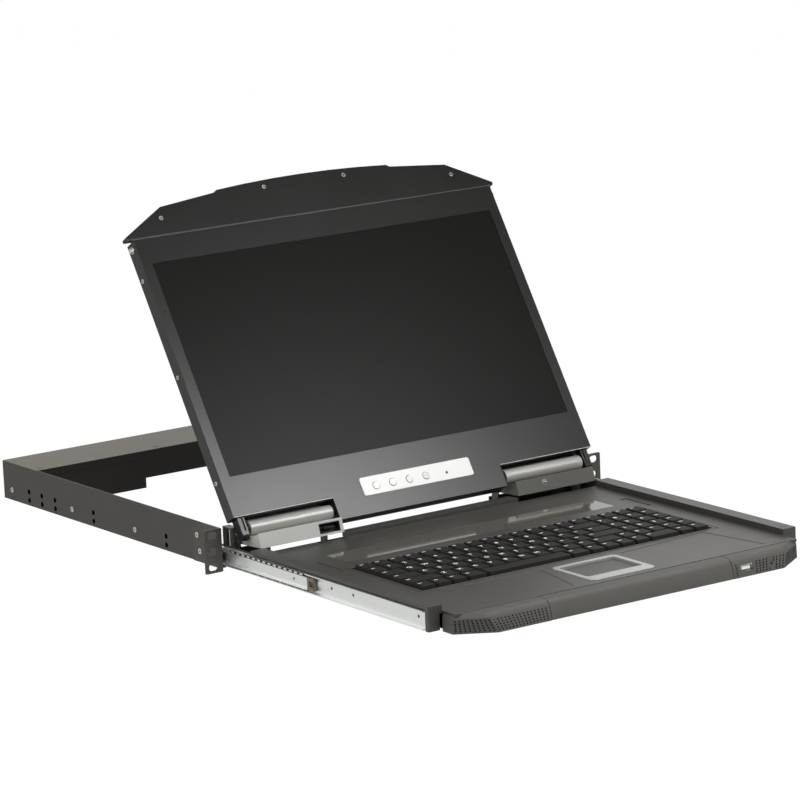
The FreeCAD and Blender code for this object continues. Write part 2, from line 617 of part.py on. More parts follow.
def keyboard_deck():
    """Moulded deck with raised side rails, keyboard and touchpad openings."""
    inner = RAIL_OUTER - RAIL_WIDTH
    plate = box(-inner, inner, DECK_FRONT, DECK_REAR, DECK_TOP - DECK_THICK, DECK_TOP)
    rib = TRAY_SIDE - PAN_SHEET - CLEAR
    rails = pair(box(inner, RAIL_OUTER, RAIL_FRONT, DECK_REAR, RAIL_FOOT, RAIL_TOP))
    roots = pair(box(inner, rib, RAIL_FRONT, DECK_REAR, DECK_TOP - DECK_THICK, RAIL_FOOT))
    posts = pair(box(inner + 3, RAIL_OUTER, RAIL_FRONT, INNER_FRONT - CLEAR, TRAY_BOTTOM, RAIL_FOOT))
    bumps = pair(Part.makeCylinder(4.0, 0.3, Vector(RAIL_OUTER - 6.5, BUMP_Y, RAIL_TOP)))
    body = fused([plate, deck_ledge()] + rails + roots + posts + bumps)
    keys_x = KEYS_WIDTH / 2 + BEZEL_GAP
    keys_y = (KEYS_FRONT - BEZEL_GAP, KEYS_REAR + BEZEL_GAP)
    pad_x = PAD_WIDTH / 2 + CLEAR
    pad = box(PAD_CENTRE_X - pad_x, PAD_CENTRE_X + pad_x, PAD_FRONT - CLEAR, PAD_REAR + CLEAR, -FAR, FAR)
    tools = [box(-keys_x, keys_x, keys_y[0], keys_y[1], -FAR, FAR),
             rounded(pad, PAD_CORNER, Vector(0, 0, 1)),
             box(-WINDOW_LENGTH / 2, WINDOW_LENGTH / 2, WINDOW_REAR - WINDOW_DEPTH, WINDOW_REAR,
                 DECK_TOP - 1.2, DECK_TOP + 1)]
    tools += pair(box(SIDE_RECESS_X - 4, SIDE_RECESS_X + 4, SIDE_RECESS[0], SIDE_RECESS[1],
                      DECK_TOP - 0.8, DECK_TOP + 1))
    tools += pair(palm_panel())
    out = GROOVE_OUT + GROOVE
    groove = box(-keys_x - out, keys_x + out, keys_y[0] - out, keys_y[1] + out, DECK_TOP - GROOVE, DECK_TOP + 1)
    island = box(-keys_x - GROOVE_OUT, keys_x + GROOVE_OUT, keys_y[0] - GROOVE_OUT, keys_y[1] + GROOVE_OUT,
                 -FAR, FAR)
    tools.append(groove.cut(island))
    return cut(body, tools)


def window_strip():
    """Glossy strip let into the deck above the keyboard."""
    half = WINDOW_LENGTH / 2 - 0.2
    front = WINDOW_REAR - WINDOW_DEPTH + 0.2
    strip = box(-half, half, front, WINDOW_REAR - 0.2, DECK_TOP - 1.2, DECK_TOP - 0.1)
    return rounded(strip, 1.5, Vector(0, 0, 1))


def handle_outline(level):
    """Corners of the handle's outline at one height, from its insets and depths."""
    end_in, shoulder, corner_in, front = level
    end = HANDLE_HALF - end_in
    corner = HANDLE_HALF - corner_in
    return [(-end, HANDLE_BACK), (-end, HANDLE_BACK - shoulder), (-corner, HANDLE_BACK - front),
            (corner, HANDLE_BACK - front), (end, HANDLE_BACK - shoulder), (end, HANDLE_BACK)]


def handle_bar():
    """Full-width front bar before it is parted into handle and grips."""
    levels = [(HANDLE_BOTTOM, (0.0, 16.0, 35.2, HANDLE_DEEP)),
              (HANDLE_BREAK, (0.2, 15.5, 29.2, HANDLE_DEEP - 4.5)),
              (DECK_TOP - 0.4, (2.2, 13.0, 30.7, HANDLE_DEEP - 8.5))]
    wires = []
    for z, level in levels:
        points = [Vector(x, y, z) for x, y in handle_outline(level)]
        wires.append(Part.makePolygon(points + [points[0]]))
    lower = Part.makeLoft(wires[0:2], True, True)
    upper = Part.makeLoft(wires[1:3], True, True)
    bar = fused([lower, upper])
    under_deck = box(-FAR, FAR, DECK_FRONT, FAR, PAD_SEAT, FAR)
    return bar.cut(under_deck)


USB_X = HANDLE_HALF - 79.2
USB_Z = -11.2
USB_WIDTH = 14.0
USB_HEIGHT = 6.6
USB_FRONT = HANDLE_FRONT + 3.0
USB_DEPTH = 14.0
PIN_HOLE_X = HANDLE_HALF - 49.2
HANDLE_WALL = 3.0
ROOM_TOP = HANDLE_BREAK - 1.0            # top of the hollows inside handle and grips


def front_handle():
    seam = GRIP_SEAM - SEAM_GAP / 2
    bar = handle_bar().common(box(-seam, seam, -FAR, FAR, -FAR, FAR))
    room = box(-GRIP_SEAM + 6, GRIP_SEAM - 6, HANDLE_FRONT + 5 + HANDLE_WALL, HANDLE_BACK + 1,
               HANDLE_BOTTOM + HANDLE_WALL, ROOM_TOP)
    half = PAD_WIDTH / 2 + PAD_FLANGE + 1
    pad_room = box(PAD_CENTRE_X - half, PAD_CENTRE_X + half, PAD_FRONT - PAD_FLANGE - 1, HANDLE_BACK + 1,
                   PAD_SEAT - PAD_BASE - 1, DECK_TOP)
    return cut(bar, [room, pad_room])


def grip(with_ports):
    block = handle_bar().common(box(GRIP_SEAM + SEAM_GAP / 2, FAR, -FAR, FAR, -FAR, FAR))
    room = box(GRIP_SEAM + 5, HANDLE_HALF - 38.2, HANDLE_BACK - 18, HANDLE_BACK + 1,
               HANDLE_BOTTOM + HANDLE_WALL, ROOM_TOP)
    tools = [room]
    if with_ports:
        half = USB_WIDTH / 2 + PORT_SIT
        tall = USB_HEIGHT / 2 + PORT_SIT
        tools.append(box(USB_X - half, USB_X + half, -FAR, HANDLE_BACK - 16, USB_Z - tall, USB_Z + tall))
        tools.append(rod_y(PIN_HOLE_X, -FAR, HANDLE_FRONT + 11, USB_Z - 1, 1.2))
    return cut(block, tools)


def usb_socket(x, z, front, depth):
    """Open metal shell with a tongue, mouth towards -Y."""
    w = USB_WIDTH / 2
    h = USB_HEIGHT / 2
    shell = box(x - w, x + w, front, front + depth, z - h, z + h)
    mouth = box(x - w + 0.6, x + w - 0.6, front - 1, front + depth - 2, z - h + 0.6, z + h - 0.6)
    tongue = box(x - w + 1.6, x + w - 1.6, front + 1, front + depth - 1, z + 0.2, z + h - 1.2)
    return fused([shell.cut(mouth), tongue])


def touchpad():
    """Silver frame on a base that bears on the deck's underside, with its pad and two buttons."""
    x0 = PAD_CENTRE_X - PAD_WIDTH / 2
    x1 = PAD_CENTRE_X + PAD_WIDTH / 2
    split = PAD_FRONT + PAD_BUTTON_DEPTH
    top = DECK_TOP + PAD_PROUD
    seat = PAD_SEAT
    up = Vector(0, 0, 1)
    ring = rounded(box(x0, x1, PAD_FRONT, PAD_REAR, seat, top), PAD_CORNER, up)
    pad_x = (x0 + PAD_RIM, x1 - PAD_RIM)
    pad_y = (split + 2, PAD_REAR - PAD_RIM)
    hollow = rounded(box(pad_x[0], pad_x[1], pad_y[0], pad_y[1], seat, top + 1), PAD_CORNER / 2, up)
    bay = box(x0 + 3, x1 - 3, PAD_FRONT + 2, split, seat, top + 1)
    base = box(x0 - PAD_FLANGE, x1 + PAD_FLANGE, PAD_FRONT - PAD_FLANGE, PAD_REAR + PAD_FLANGE,
               seat - PAD_BASE, seat)
    frame = fused([cut(ring, [hollow, bay]), base])
    pad = box(pad_x[0] + 0.2, pad_x[1] - 0.2, pad_y[0] + 0.2, pad_y[1] - 0.2, seat, DECK_TOP - PAD_SINK)
    pad = rounded(pad, PAD_CORNER / 2 - 0.2, up)
    buttons = []
    for side in (-1, 1):
        inner = PAD_CENTRE_X + side * 0.2
        outer = PAD_CENTRE_X + side * (PAD_WIDTH / 2 - 3 - CLEAR)
        buttons.append(box(inner, outer, PAD_FRONT + 2 + CLEAR, split - CLEAR, top - 1.3, top + 0.1))
    return frame, pad, buttons


def keyboard_plate():
    """Carrier sheet under the keys, with one slot for the stems of each row."""
    x = KEYS_WIDTH / 2
    y1 = KEYS_REAR
    y0 = KEYS_FRONT
    floor = TRAY_BOTTOM + PAN_SHEET
    sheet = box(-x, x, y0, y1, KEY_FOOT - KEY_TRAVEL - 1.8, KEY_FOOT - KEY_TRAVEL - 0.4)
    legs = [box(s * x, s * (x - 3), y0, y1, floor, KEY_FOOT - KEY_TRAVEL - 1.8) for s in (-1, 1)]
    slots = []
    for row in range(KEY_ROWS):
        y = y1 - (row + 0.5) * ROW_PITCH
        slots.append(box(-x + 4, x - 4, y - KEY_STEM / 2 - 0.4, y + KEY_STEM / 2 + 0.4, -12, -4))
    return cut(fused([sheet] + legs), slots)


# key widths of each row, in key units, from the left
ROWS = {
    "keys_function_row": [1] * 19,
    "keys_number_row": [1] * 13 + [2] + [1] * 4,
    "keys_upper_row": [1.5] + [1] * 12 + [1.5] + [1] * 4,
    "keys_home_row": [1.75] + [1] * 11 + [2.25] + [1] * 4,
    "keys_lower_row": [2.25] + [1] * 10 + [1.75] + [1] * 5,
    "keys_space_row": [1, 1, 1, 1.25, 5.5, 1.25, 1, 1, 1, 1, 2, 1, 1],
}


def key_cap(x0, x1, y0, y1):
    """A tapered cap with a stem that runs in the carrier's slot."""
    foot = [Vector(x, y, KEY_FOOT) for x, y in ((x0, y0), (x1, y0), (x1, y1), (x0, y1))]
    t = KEY_TAPER
    crown = [Vector(x, y, KEY_TOP) for x, y in
             ((x0 + t, y0 + t), (x1 - t, y0 + t), (x1 - t, y1 - t * 0.6), (x0 + t, y1 - t * 0.6))]
    cap = Part.makeLoft([Part.makePolygon(foot + [foot[0]]), Part.makePolygon(crown + [crown[0]])], True, True)
    x = (x0 + x1) / 2
    y = (y0 + y1) / 2
    s = KEY_STEM / 2
    stem = box(x - s, x + s, y - s, y + s, KEY_FOOT - KEY_TRAVEL - 1.6, KEY_FOOT + 0.5)
    return cap.fuse(stem)


def key_row(index, widths):
    y1 = KEYS_REAR - index * ROW_PITCH - KEY_GAP / 2
    y0 = y1 - ROW_PITCH + KEY_GAP
    caps = []
    x = -KEYS_WIDTH / 2
    for units in widths:
        caps.append(key_cap(x + KEY_GAP / 2, x + units * KEY_PITCH - KEY_GAP / 2, y0, y1))
        x += units * KEY_PITCH
    return caps


def controller_board():
    floor = TRAY_BOTTOM + PAN_SHEET
    half = KEYS_WIDTH / 2 - 21.5
    front = KEYS_REAR + 13.5
    rear = front + 70
    board = box(-half, half, front, rear, floor + 3, floor + 4.4)
    stands = [rod_z(x, y, floor, floor + 3, 2.5) for x in (10 - half, half - 10) for y in (front + 8, rear - 8)]
    chips = [box(x, x + w, front + 20, front + 20 + w, floor + 4.4, floor + 6)
             for x, w in ((-60, 14), (10, 20), (70, 12))]
    return fused([board] + stands + chips)


BRACKET_TOP = 20.5
BRACKET_Y = (-5.9, 9.0)       # clear of the arm's toe at every lift and tilt
BRACKET_FOOT = 10.0
BRACKET_BACK = -4.0           # top of a bracket's back, under its link
SHORT_BACK = 43.0             # length of the left bracket's back; the right one shields its whole link
CHEEK = 1.5
CHEEK_R = 5.5


def hinge_bracket(back_inner):
    """Steel stand in a rear corner of the tray, with two cheeks for the link's pivot pin."""
    floor = TRAY_BOTTOM + PAN_SHEET
    y0, y1 = BRACKET_Y
    outer = TRAY_SIDE - PAN_SHEET - 0.1
    inner_cheek = LINK_INNER - CLEAR - CHEEK
    back = box(back_inner, outer, y1 - 0.1 - CHEEK, y1 - 0.1, floor, BRACKET_BACK)
    outer_cheek = LINK_OUTER + 2.2
    base = box(inner_cheek, outer, y0 - BRACKET_FOOT, y1 - 0.1, floor, floor + CHEEK)
    cheeks = []
    for x in (inner_cheek, outer_cheek):
        web = box(x, x + CHEEK, PIVOT_Y - CHEEK_R, PIVOT_Y + CHEEK_R, floor, PIVOT_Z)
        cheeks += [web, rod_x(x, x + CHEEK, PIVOT_Y, PIVOT_Z, CHEEK_R)]
    frame_x = (outer - 6, outer)
    posts = [box(frame_x[0], frame_x[1], y, y + 2.5, floor, BRACKET_TOP) for y in (y0, y1 - 2.6)]
    roof = box(outer_cheek, outer, y0, y1 - 0.1, BRACKET_TOP - CHEEK, BRACKET_TOP)
    rail = box(frame_x[1] - CHEEK, frame_x[1], y0, y1 - 0.1, floor, floor + 16)
    pin = rod_x(inner_cheek - 0.5, outer_cheek + CHEEK + 0.5, PIVOT_Y, PIVOT_Z, PIVOT_PIN)
    return fused([base, back, roof, rail, pin] + cheeks + posts)


def tray_screws():
    side = TRAY_SIDE - 19.5
    spots = [(side, -60), (side, -200), (side, HANDLE_BACK + 24), (60, -60), (60, HANDLE_BACK + 24)]
    heads = []
    for x, y in spots:
        heads += pair(rod_z(x, y, TRAY_BOTTOM - 0.8, TRAY_BOTTOM, 2.9))
    return heads


# ---------------------------------------------------------------- hinge links
PORT_X = -LINK_INNER - 15.8
PORT_BAY = 24.0
PORT_TALL = 10.0
JACK_X = LINK_INNER + 34.5
JACK_R = 3.1
JACK_BORE = 1.75
COVER_HIGH = (-21.4, -1.5)   # top and bottom of the leaning front plate, from the barrel axis
COVER_LOW = (-25.4, -15.3)
COVER_LEAN = math.degrees(math.atan2(COVER_HIGH[0] - COVER_LOW[0], COVER_HIGH[1] - COVER_LOW[1]))


def link_point(y, z):
    """A point given from the barrel axis."""
    return AXIS_Y + y, AXIS_Z + z


def link_profile():
    """Section of a link's housing: a leaning front plate, a floor and a seat for the barrel."""
    pivot_y = PIVOT_Y - AXIS_Y
    pivot_z = PIVOT_Z - AXIS_Z
    r = PIVOT_PIN + 1.4
    return [COVER_HIGH, COVER_LOW, (pivot_y, pivot_z - r), (pivot_y + r * 0.7, pivot_z - r * 0.7),
            (pivot_y + r, pivot_z), (pivot_y + r * 0.7, pivot_z + r * 0.7), (pivot_y - 1, pivot_z + r),
            (6.5, -6.4), (-7.0, -7.4), (-19.3, -3.0), (-19.6, -1.5)]


def link_housing():
    outline = [link_point(y, z) for y, z in link_profile()]
    shell = prism_x(outline, LINK_INNER, LINK_OUTER)
    room = face_of([Vector(LINK_INNER + LINK_END, y, z) for y, z in outline])
    room = room.makeOffset2D(-LINK_WALL).extrude(Vector(LINK_OUTER - LINK_INNER - 2 * LINK_END, 0, 0))
    seat = rod_x(LINK_INNER - 1, LINK_OUTER + 1, AXIS_Y, AXIS_Z, BARREL_R + 0.02)
    bush = rod_x(LINK_INNER, LINK_OUTER, PIVOT_Y, PIVOT_Z, PIVOT_PIN + 1.2)
    bore = rod_x(LINK_INNER - 1, LINK_OUTER + 1, PIVOT_Y, PIVOT_Z, PIVOT_PIN + SHAFT_FIT)
    return fused([shell.cut(room), bush]).cut(seat).cut(bore)


def cover_point(up):
    """A point on the leaning front plate, a share of the way up it."""
    y0, z0 = link_point(*COVER_LOW)
    y1, z1 = link_point(*COVER_HIGH)
    return y0 + (y1 - y0) * up, z0 + (z1 - z0) * up


def port_block(width, tall, start, end):
    """Block square to the leaning plate, from start to end behind the plate's face."""
    y, z = cover_point(0.5)
    block = Part.makeBox(width, end - start, tall, Vector(-width / 2, start, -tall / 2))
    block.Placement = Placement(Vector(PORT_X, y, z), Rotation(Vector(1, 0, 0), -COVER_LEAN))
    return block


def jack_rod(radius, start, end):
    y, z = cover_point(0.62)
    lean = math.radians(COVER_LEAN)
    axis = Vector(0, math.cos(lean), -math.sin(lean))
    return Part.makeCylinder(radius, end - start, Vector(JACK_X, y, z) + axis * start, axis)


def left_housing():
    opening = port_block(PORT_BAY + 2 * PORT_SIT, PORT_TALL + 2 * PORT_SIT, -2, 9)
    return mirrored(link_housing()).cut(opening)


def right_housing():
    return link_housing().cut(jack_rod(JACK_R + SHAFT_FIT, -2, 7))


def hinge_port():
    """Rectangular socket with a tongue, let into the left link."""
    shell = port_block(PORT_BAY, PORT_TALL, 0, 7).cut(port_block(PORT_BAY - 2, PORT_TALL - 2, -1, 5.5))
    return fused([shell, port_block(13, 2, 1.2, 6)])


def hinge_jack():
    """Round jack in the right link."""
    return jack_rod(JACK_R, -0.5, 6.5).cut(jack_rod(JACK_BORE, -1, 5))


def barrel():
    """Tube that houses the friction spring; the display's shaft turns in it."""
    tube = rod_x(BARREL_INNER, BARREL_OUTER, AXIS_Y, AXIS_Z, BARREL_R)
    bore = rod_x(BARREL_INNER - 1, BARREL_OUTER + 1, AXIS_Y, AXIS_Z, SHAFT_R + SHAFT_FIT)
    return tube.cut(bore)


# ---------------------------------------------------------------- display
DISPLAY = Placement(Vector(0, AXIS_Y, AXIS_Z), Rotation(Vector(1, 0, 0), 180 - OPEN_ANGLE))


def on_display(shape):
    """Put a shape drawn as x, s, n into its place on the opened display."""
    placed = shape.copy()
    placed.Placement = DISPLAY.multiply(placed.Placement)
    return placed


def panel_outline(inset):
    """Outline of the display with its chin between the hinge notches."""
    w = PANEL_WIDTH / 2 - inset
    chin = NOTCH_INNER - inset
    return [(-w, NOTCH_S + inset), (-chin, NOTCH_S + inset), (-chin, CHIN_S + inset),
            (chin, CHIN_S + inset), (chin, NOTCH_S + inset), (w, NOTCH_S + inset),
            (w, PANEL_TOP_S - inset), (-w, PANEL_TOP_S - inset)]


def display_back_cover():
    """Folded tin that closes the display's back and sides."""
    front = FACE_N - BEZEL_THICK
    tin = prism_z(panel_outline(0), BACK_N, front)
    tin = rounded(tin, 1.0, Vector(0, 0, 1))
    room = prism_z(panel_outline(COVER_SHEET), BACK_N + COVER_SHEET, front + 1)
    holes = pair(rod_x(NOTCH_INNER - 3, NOTCH_INNER + 1, 0, 0, SHAFT_R + 0.2))
    hem = box(NOTCH_INNER - 0.5, LINK_OUTER, NOTCH_S - NOTCH_LIP, NOTCH_S + COVER_SHEET,
              BACK_N, BACK_N + COVER_SHEET)
    return fused([cut(tin, [room] + holes)] + pair(hem))


def glass_box(grow, n0, n1):
    w = GLASS_WIDTH / 2 + grow
    return box(-w, w, GLASS_BOTTOM_S - grow, GLASS_BOTTOM_S + GLASS_HEIGHT + grow, n0, n1)


def osd_buttons_at():
    return [(OSD_BUTTON_FIRST + i * OSD_BUTTON_PITCH, OSD_BUTTON_S) for i in range(4)]


def osd_holes(radius):
    return [rod_z(x, s, -5, 20, radius) for x, s in osd_buttons_at()]


def display_bezel():
    sheet = prism_z(panel_outline(0), FACE_N - BEZEL_THICK, FACE_N)
    sheet = rounded(sheet, 1.0, Vector(0, 0, 1))
    return cut(sheet, [glass_box(0, 0, 20)] + osd_holes(OSD_BUTTON_R + OSD_BUTTON_FIT))


def lcd_panel():
    """Screen module: a tin behind the bezel with its glass in the bezel's window."""
    module = glass_box(4, -4.5, FACE_N - BEZEL_THICK)
    glass = glass_box(-0.15, FACE_N - BEZEL_THICK - 0.5, FACE_N - 0.5)
    return fused([module, glass])


def lip_outline(inset):
    """Front lip of the closed drawer: straight shoulders and a raised, bowed middle."""
    tip = LIP_TIP - inset
    low = PANEL_TOP_S + 1.5
    edge_s = PANEL_TOP_S - inset
    shoulder = [(tip, low), (tip, edge_s + 4.7), (LIP_TIP - 50 - inset * 0.4, edge_s + 31.8),
                (LIP_STEP, edge_s + 38.6), (LIP_STEP - 3.5, edge_s + 41.0)]
    crown = edge_s + 45.2
    edge = shoulder[-1]
    bow = []
    for i in range(1, 12):
        x = edge[0] * (1 - i / 6.0)
        bow.append((x, crown - (crown - edge[1]) * (x / edge[0]) ** 2))
    return shoulder + bow + [(-x, s) for x, s in reversed(shoulder)]


def lip_plate():
    """Bent steel lip on the display's top edge, with a skirt along its front."""
    top = FACE_N - 1.6
    plate = prism_z(lip_outline(0), top - LIP_THICK, top)
    skirt = prism_z(lip_outline(0), top - LIP_SKIRT, top - LIP_THICK)
    room = prism_z(lip_outline(1.5), top - LIP_SKIRT - 1, top - LIP_THICK)
    low = PANEL_TOP_S + 1.5
    room = room.fuse(box(-LIP_TIP + 1.5, LIP_TIP - 1.5, low - 1, low + 1, top - LIP_SKIRT - 1, top - LIP_THICK))
    tongue = box(-PANEL_WIDTH / 2 + 2, PANEL_WIDTH / 2 - 2, PANEL_TOP_S, low, top - LIP_THICK - 2, top - 0.4)
    return fused([plate, skirt.cut(room), tongue])


def osd_plate():
    x0 = OSD_CENTRE_X - OSD_WIDTH / 2
    plate = box(x0, x0 + OSD_WIDTH, OSD_BOTTOM_S, OSD_BOTTOM_S + OSD_HEIGHT, FACE_N, FACE_N + 0.5)
    plate = rounded(plate, 2.5, Vector(0, 0, 1))
    lamp = rod_z(36.9, OSD_BUTTON_S - 1, 0, 20, 1.5)
    return cut(plate, osd_holes(OSD_BUTTON_R + OSD_BUTTON_FIT) + [lamp])


def osd_button(x, s):
    cap = rod_z(x, s, FACE_N - 4.5, FACE_N + 1.1, OSD_BUTTON_R)
    return cap.makeFillet(0.4, [cap.Edges[0]])


def hinge_arm():
    """Side arm of the display with the shaft that turns in the barrel."""
    x0 = ARM_INNER
    x1 = ARM_INNER + ARM_WIDTH
    blade = box(x0, x1, -6.0, NOTCH_S, -ARM_HALF, ARM_HALF)
    toe = rod_x(x0, x1, -6.0, 0, ARM_HALF)
    groove = box(x0 + 2.2, x0 + 3.6, -3.0, NOTCH_S + 1, ARM_HALF - 2.0, ARM_HALF + 1)
    shaft = rod_x(NOTCH_INNER - 2.5, x1, 0, 0, SHAFT_R)
    return fused([blade, toe, shaft]).cut(groove)


PIN_S = PANEL_TOP_S - 8.3
SIDE_SCREWS = [51.0, 165.0, 270.0]
LIP_SCREWS = [(LIP_TIP - 46.5, PANEL_TOP_S + 19.5), (48.5, PANEL_TOP_S + 36.4)]


def lock_pins():
    x = PANEL_WIDTH / 2
    return pair(fused([rod_x(x, x + 1.6, PIN_S, 1.5, 3.6), rod_x(x + 1.6, x + 3.8, PIN_S, 1.5, 2.6)]))


def display_screws():
    heads = []
    x = PANEL_WIDTH / 2
    for s in SIDE_SCREWS:
        heads += pair(rod_x(x, x + 0.7, s, -1.0, 2.2))
    for x, s in LIP_SCREWS:
        heads += pair(rod_z(x, s, FACE_N - 1.6, FACE_N - 0.9, 2.3))
    return heads


# ---------------------------------------------------------------- build
os.makedirs("parts", exist_ok=True)

save_sides("side_wall", side_wall())
save_sides("rack_ear", rack_ear())
save("rear_box", rear_box())
save("box_front", box_front())
save("rear_panel", rear_panel())
save("rear_box_cover", rear_box_cover())
save("main_board", main_board())
save("power_supply", power_supply())
save("power_inlet", power_inlet())
switch_frame, rocker = power_switch()
save("rear_ports", rear_ports() + [switch_frame])
save("power_rocker", rocker)
save("chassis_screws", chassis_screws())

save("slide_outer_members", pair(slide_outer()))
save_sides("slide_middle", slide_middle())
save("slide_inner_members", pair(slide_inner()))
front_cage = ball_cage(CAGE_U, 4.6, FLANGE_IN, BALL_U, CAGE_FRONT, BALL_COUNT)
rear_cage = ball_cage(REAR_CAGE_U, 5.7, MIDDLE_IN, REAR_BALL_U, REAR_CAGE_FRONT, REAR_BALLS)
save_sides("front_ball_cage", front_cage)
save_sides("rear_ball_cage", rear_cage)
save_sides("slide_bumper", bumper())

save("tray_pan", tray_pan())
save("keyboard_deck", keyboard_deck())
save("window_strip", window_strip())
save("front_handle", front_handle())
save("grips", [mirrored(grip(False)), grip(True)])
save("usb_port", usb_socket(USB_X, USB_Z, USB_FRONT, USB_DEPTH))
frame, pad, pad_buttons = touchpad()
save("touchpad_frame", frame)
save("touchpad_pad", pad)
save("touchpad_button_left", pad_buttons[0])
save("touchpad_button_right", pad_buttons[1])
save("keyboard_plate", keyboard_plate())
for number, (name, widths) in enumerate(ROWS.items()):
    save(name, key_row(number, widths))
save("controller_board", controller_board())
save("hinge_brackets", [mirrored(hinge_bracket(LINK_OUTER - SHORT_BACK)), hinge_bracket(LINK_INNER)])
save("tray_screws", tray_screws())

save("hinge_housing_left", left_housing())
save("hinge_housing_right", right_housing())
save("hinge_barrels", pair(barrel()))
save("hinge_port_left", hinge_port())
save("hinge_jack_right", hinge_jack())

save("display_back_cover", on_display(display_back_cover()))
save("display_bezel", on_display(display_bezel()))
save("lcd_panel", on_display(lcd_panel()))
save("lip_plate", on_display(lip_plate()))
save("osd_plate", on_display(osd_plate()))
for number, (x, s) in enumerate(osd_buttons_at(), 1):
    save("osd_button_%d" % number, on_display(osd_button(x, s)))
save("display_hinge_arms", [on_display(arm) for arm in pair(hinge_arm())])
save("display_pins_and_screws", [on_display(piece) for piece in lock_pins() + display_screws()])
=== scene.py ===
# %% [markdown]
# # A rackmount console drawer, dressed for its portrait
# The construction of this drawer was made in CAD, and this script gives it its finishes and its
# fine detail: powder-coated sheet steel, zinc-plated slides, moulded keys and a dark screen.
# Every piece here sits on the CAD frame, so whatever moves there also moves here.  Sizes are in
# millimetres times MM, because Blender works in metres.

import json
import math

import bmesh
import bpy
from mathutils import Matrix, Vector

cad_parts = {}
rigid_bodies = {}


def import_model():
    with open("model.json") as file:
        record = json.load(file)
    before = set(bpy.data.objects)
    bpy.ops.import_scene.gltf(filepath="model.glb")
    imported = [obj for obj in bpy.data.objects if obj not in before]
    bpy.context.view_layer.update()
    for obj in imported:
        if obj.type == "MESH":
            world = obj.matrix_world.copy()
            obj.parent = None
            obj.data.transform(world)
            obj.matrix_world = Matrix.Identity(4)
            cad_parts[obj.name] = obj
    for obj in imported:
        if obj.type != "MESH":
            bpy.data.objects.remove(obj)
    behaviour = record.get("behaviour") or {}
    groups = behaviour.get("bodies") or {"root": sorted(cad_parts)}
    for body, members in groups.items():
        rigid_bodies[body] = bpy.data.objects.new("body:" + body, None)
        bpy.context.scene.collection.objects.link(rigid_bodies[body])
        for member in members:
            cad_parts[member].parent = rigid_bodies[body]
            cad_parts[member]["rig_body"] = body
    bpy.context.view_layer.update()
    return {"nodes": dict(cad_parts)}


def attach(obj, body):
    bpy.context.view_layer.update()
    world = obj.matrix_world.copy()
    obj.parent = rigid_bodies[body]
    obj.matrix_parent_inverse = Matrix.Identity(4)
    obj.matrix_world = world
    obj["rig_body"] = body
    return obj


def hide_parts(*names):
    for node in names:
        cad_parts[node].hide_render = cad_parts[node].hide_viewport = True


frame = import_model()
MM = 0.001
body_of = {node: obj["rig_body"] for node, obj in frame["nodes"].items()}

# %% [markdown]
# ## The camera
# A long lens far away keeps the drawer's edges nearly parallel, as a catalogue picture does.
# The camera stands to the left of the drawer and a little above it, and leans slightly.

# %% Place the camera
CAMERA_AZIMUTH = math.radians(-34.37)
CAMERA_HEIGHT = math.radians(11.84)
CAMERA_LEAN = math.radians(-2.52)
CAMERA_SPOT = Vector((-2.34084, -3.41715, 0.98241))
CAMERA_LENS = 191.4
CAMERA_FILM = 36.0

back = Vector((math.sin(CAMERA_AZIMUTH) * math.cos(CAMERA_HEIGHT),
               -math.cos(CAMERA_AZIMUTH) * math.cos(CAMERA_HEIGHT), math.sin(CAMERA_HEIGHT)))
camera_data = bpy.data.cameras.new("camera")
camera_data.lens = CAMERA_LENS
camera_data.sensor_width = CAMERA_FILM
camera_data.clip_end = 100.0
camera = bpy.data.objects.new("camera", camera_data)
camera.rotation_mode = "QUATERNION"
lean = Matrix.Rotation(CAMERA_LEAN, 3, "Z").to_quaternion()
camera.rotation_quaternion = back.to_track_quat("Z", "Y") @ lean
camera.location = CAMERA_SPOT
bpy.context.scene.collection.objects.link(camera)
bpy.context.scene.camera = camera
print("camera is", round(camera.location.length, 2), "m from the rack's front")

# %% [markdown]
# ## Light
# A dark product in a white studio is drawn by what it reflects.  The world is bright behind the
# drawer, where a white wall would stand, and dim in front.  A key lamp lights it from the front
# left, a second lamp lifts the left side, and a small one on the right is mirrored by the lower
# corner of the screen's frame.  Seen directly the world is plain white.

# %% Light the studio
def node(tree, kind, place, **values):
    """Add a shader or geometry node and set its properties."""
    made = tree.nodes.new(kind)
    made.location = place
    for key, value in values.items():
        setattr(made, key, value)
    return made


def feed(made, **values):
    """Give a node's input sockets their values; underscores stand for spaces."""
    for key, value in values.items():
        made.inputs[key.replace("_", " ")].default_value = value
    return made


world = bpy.data.worlds.new("studio")
bpy.context.scene.world = world
world.use_nodes = True
sky = world.node_tree
sky.nodes.clear()
sky_out = node(sky, "ShaderNodeOutputWorld", (700, 0))
sky_mix = node(sky, "ShaderNodeMixShader", (500, 0))
sky_seen = feed(node(sky, "ShaderNodeBackground", (300, -150)), Color=(1, 1, 1, 1), Strength=1.0)
sky_dome = feed(node(sky, "ShaderNodeBackground", (300, 0)), Strength=1.0)
sky_shade = node(sky, "ShaderNodeMath", (100, 0), operation="MULTIPLY")
sky_split = node(sky, "ShaderNodeSeparateXYZ", (-400, 0))
sky_depth = node(sky, "ShaderNodeMapRange", (-200, 0), interpolation_type="SMOOTHSTEP")
feed(sky_depth, From_Min=-0.45, From_Max=0.45, To_Min=0.08, To_Max=1.0)
sky_lift = node(sky, "ShaderNodeMapRange", (-200, -250), interpolation_type="SMOOTHSTEP")
feed(sky_lift, From_Min=-0.2, From_Max=0.9, To_Min=0.85, To_Max=1.05)
sky_place = node(sky, "ShaderNodeTexCoord", (-600, 0))
sky_rays = node(sky, "ShaderNodeLightPath", (300, 250))
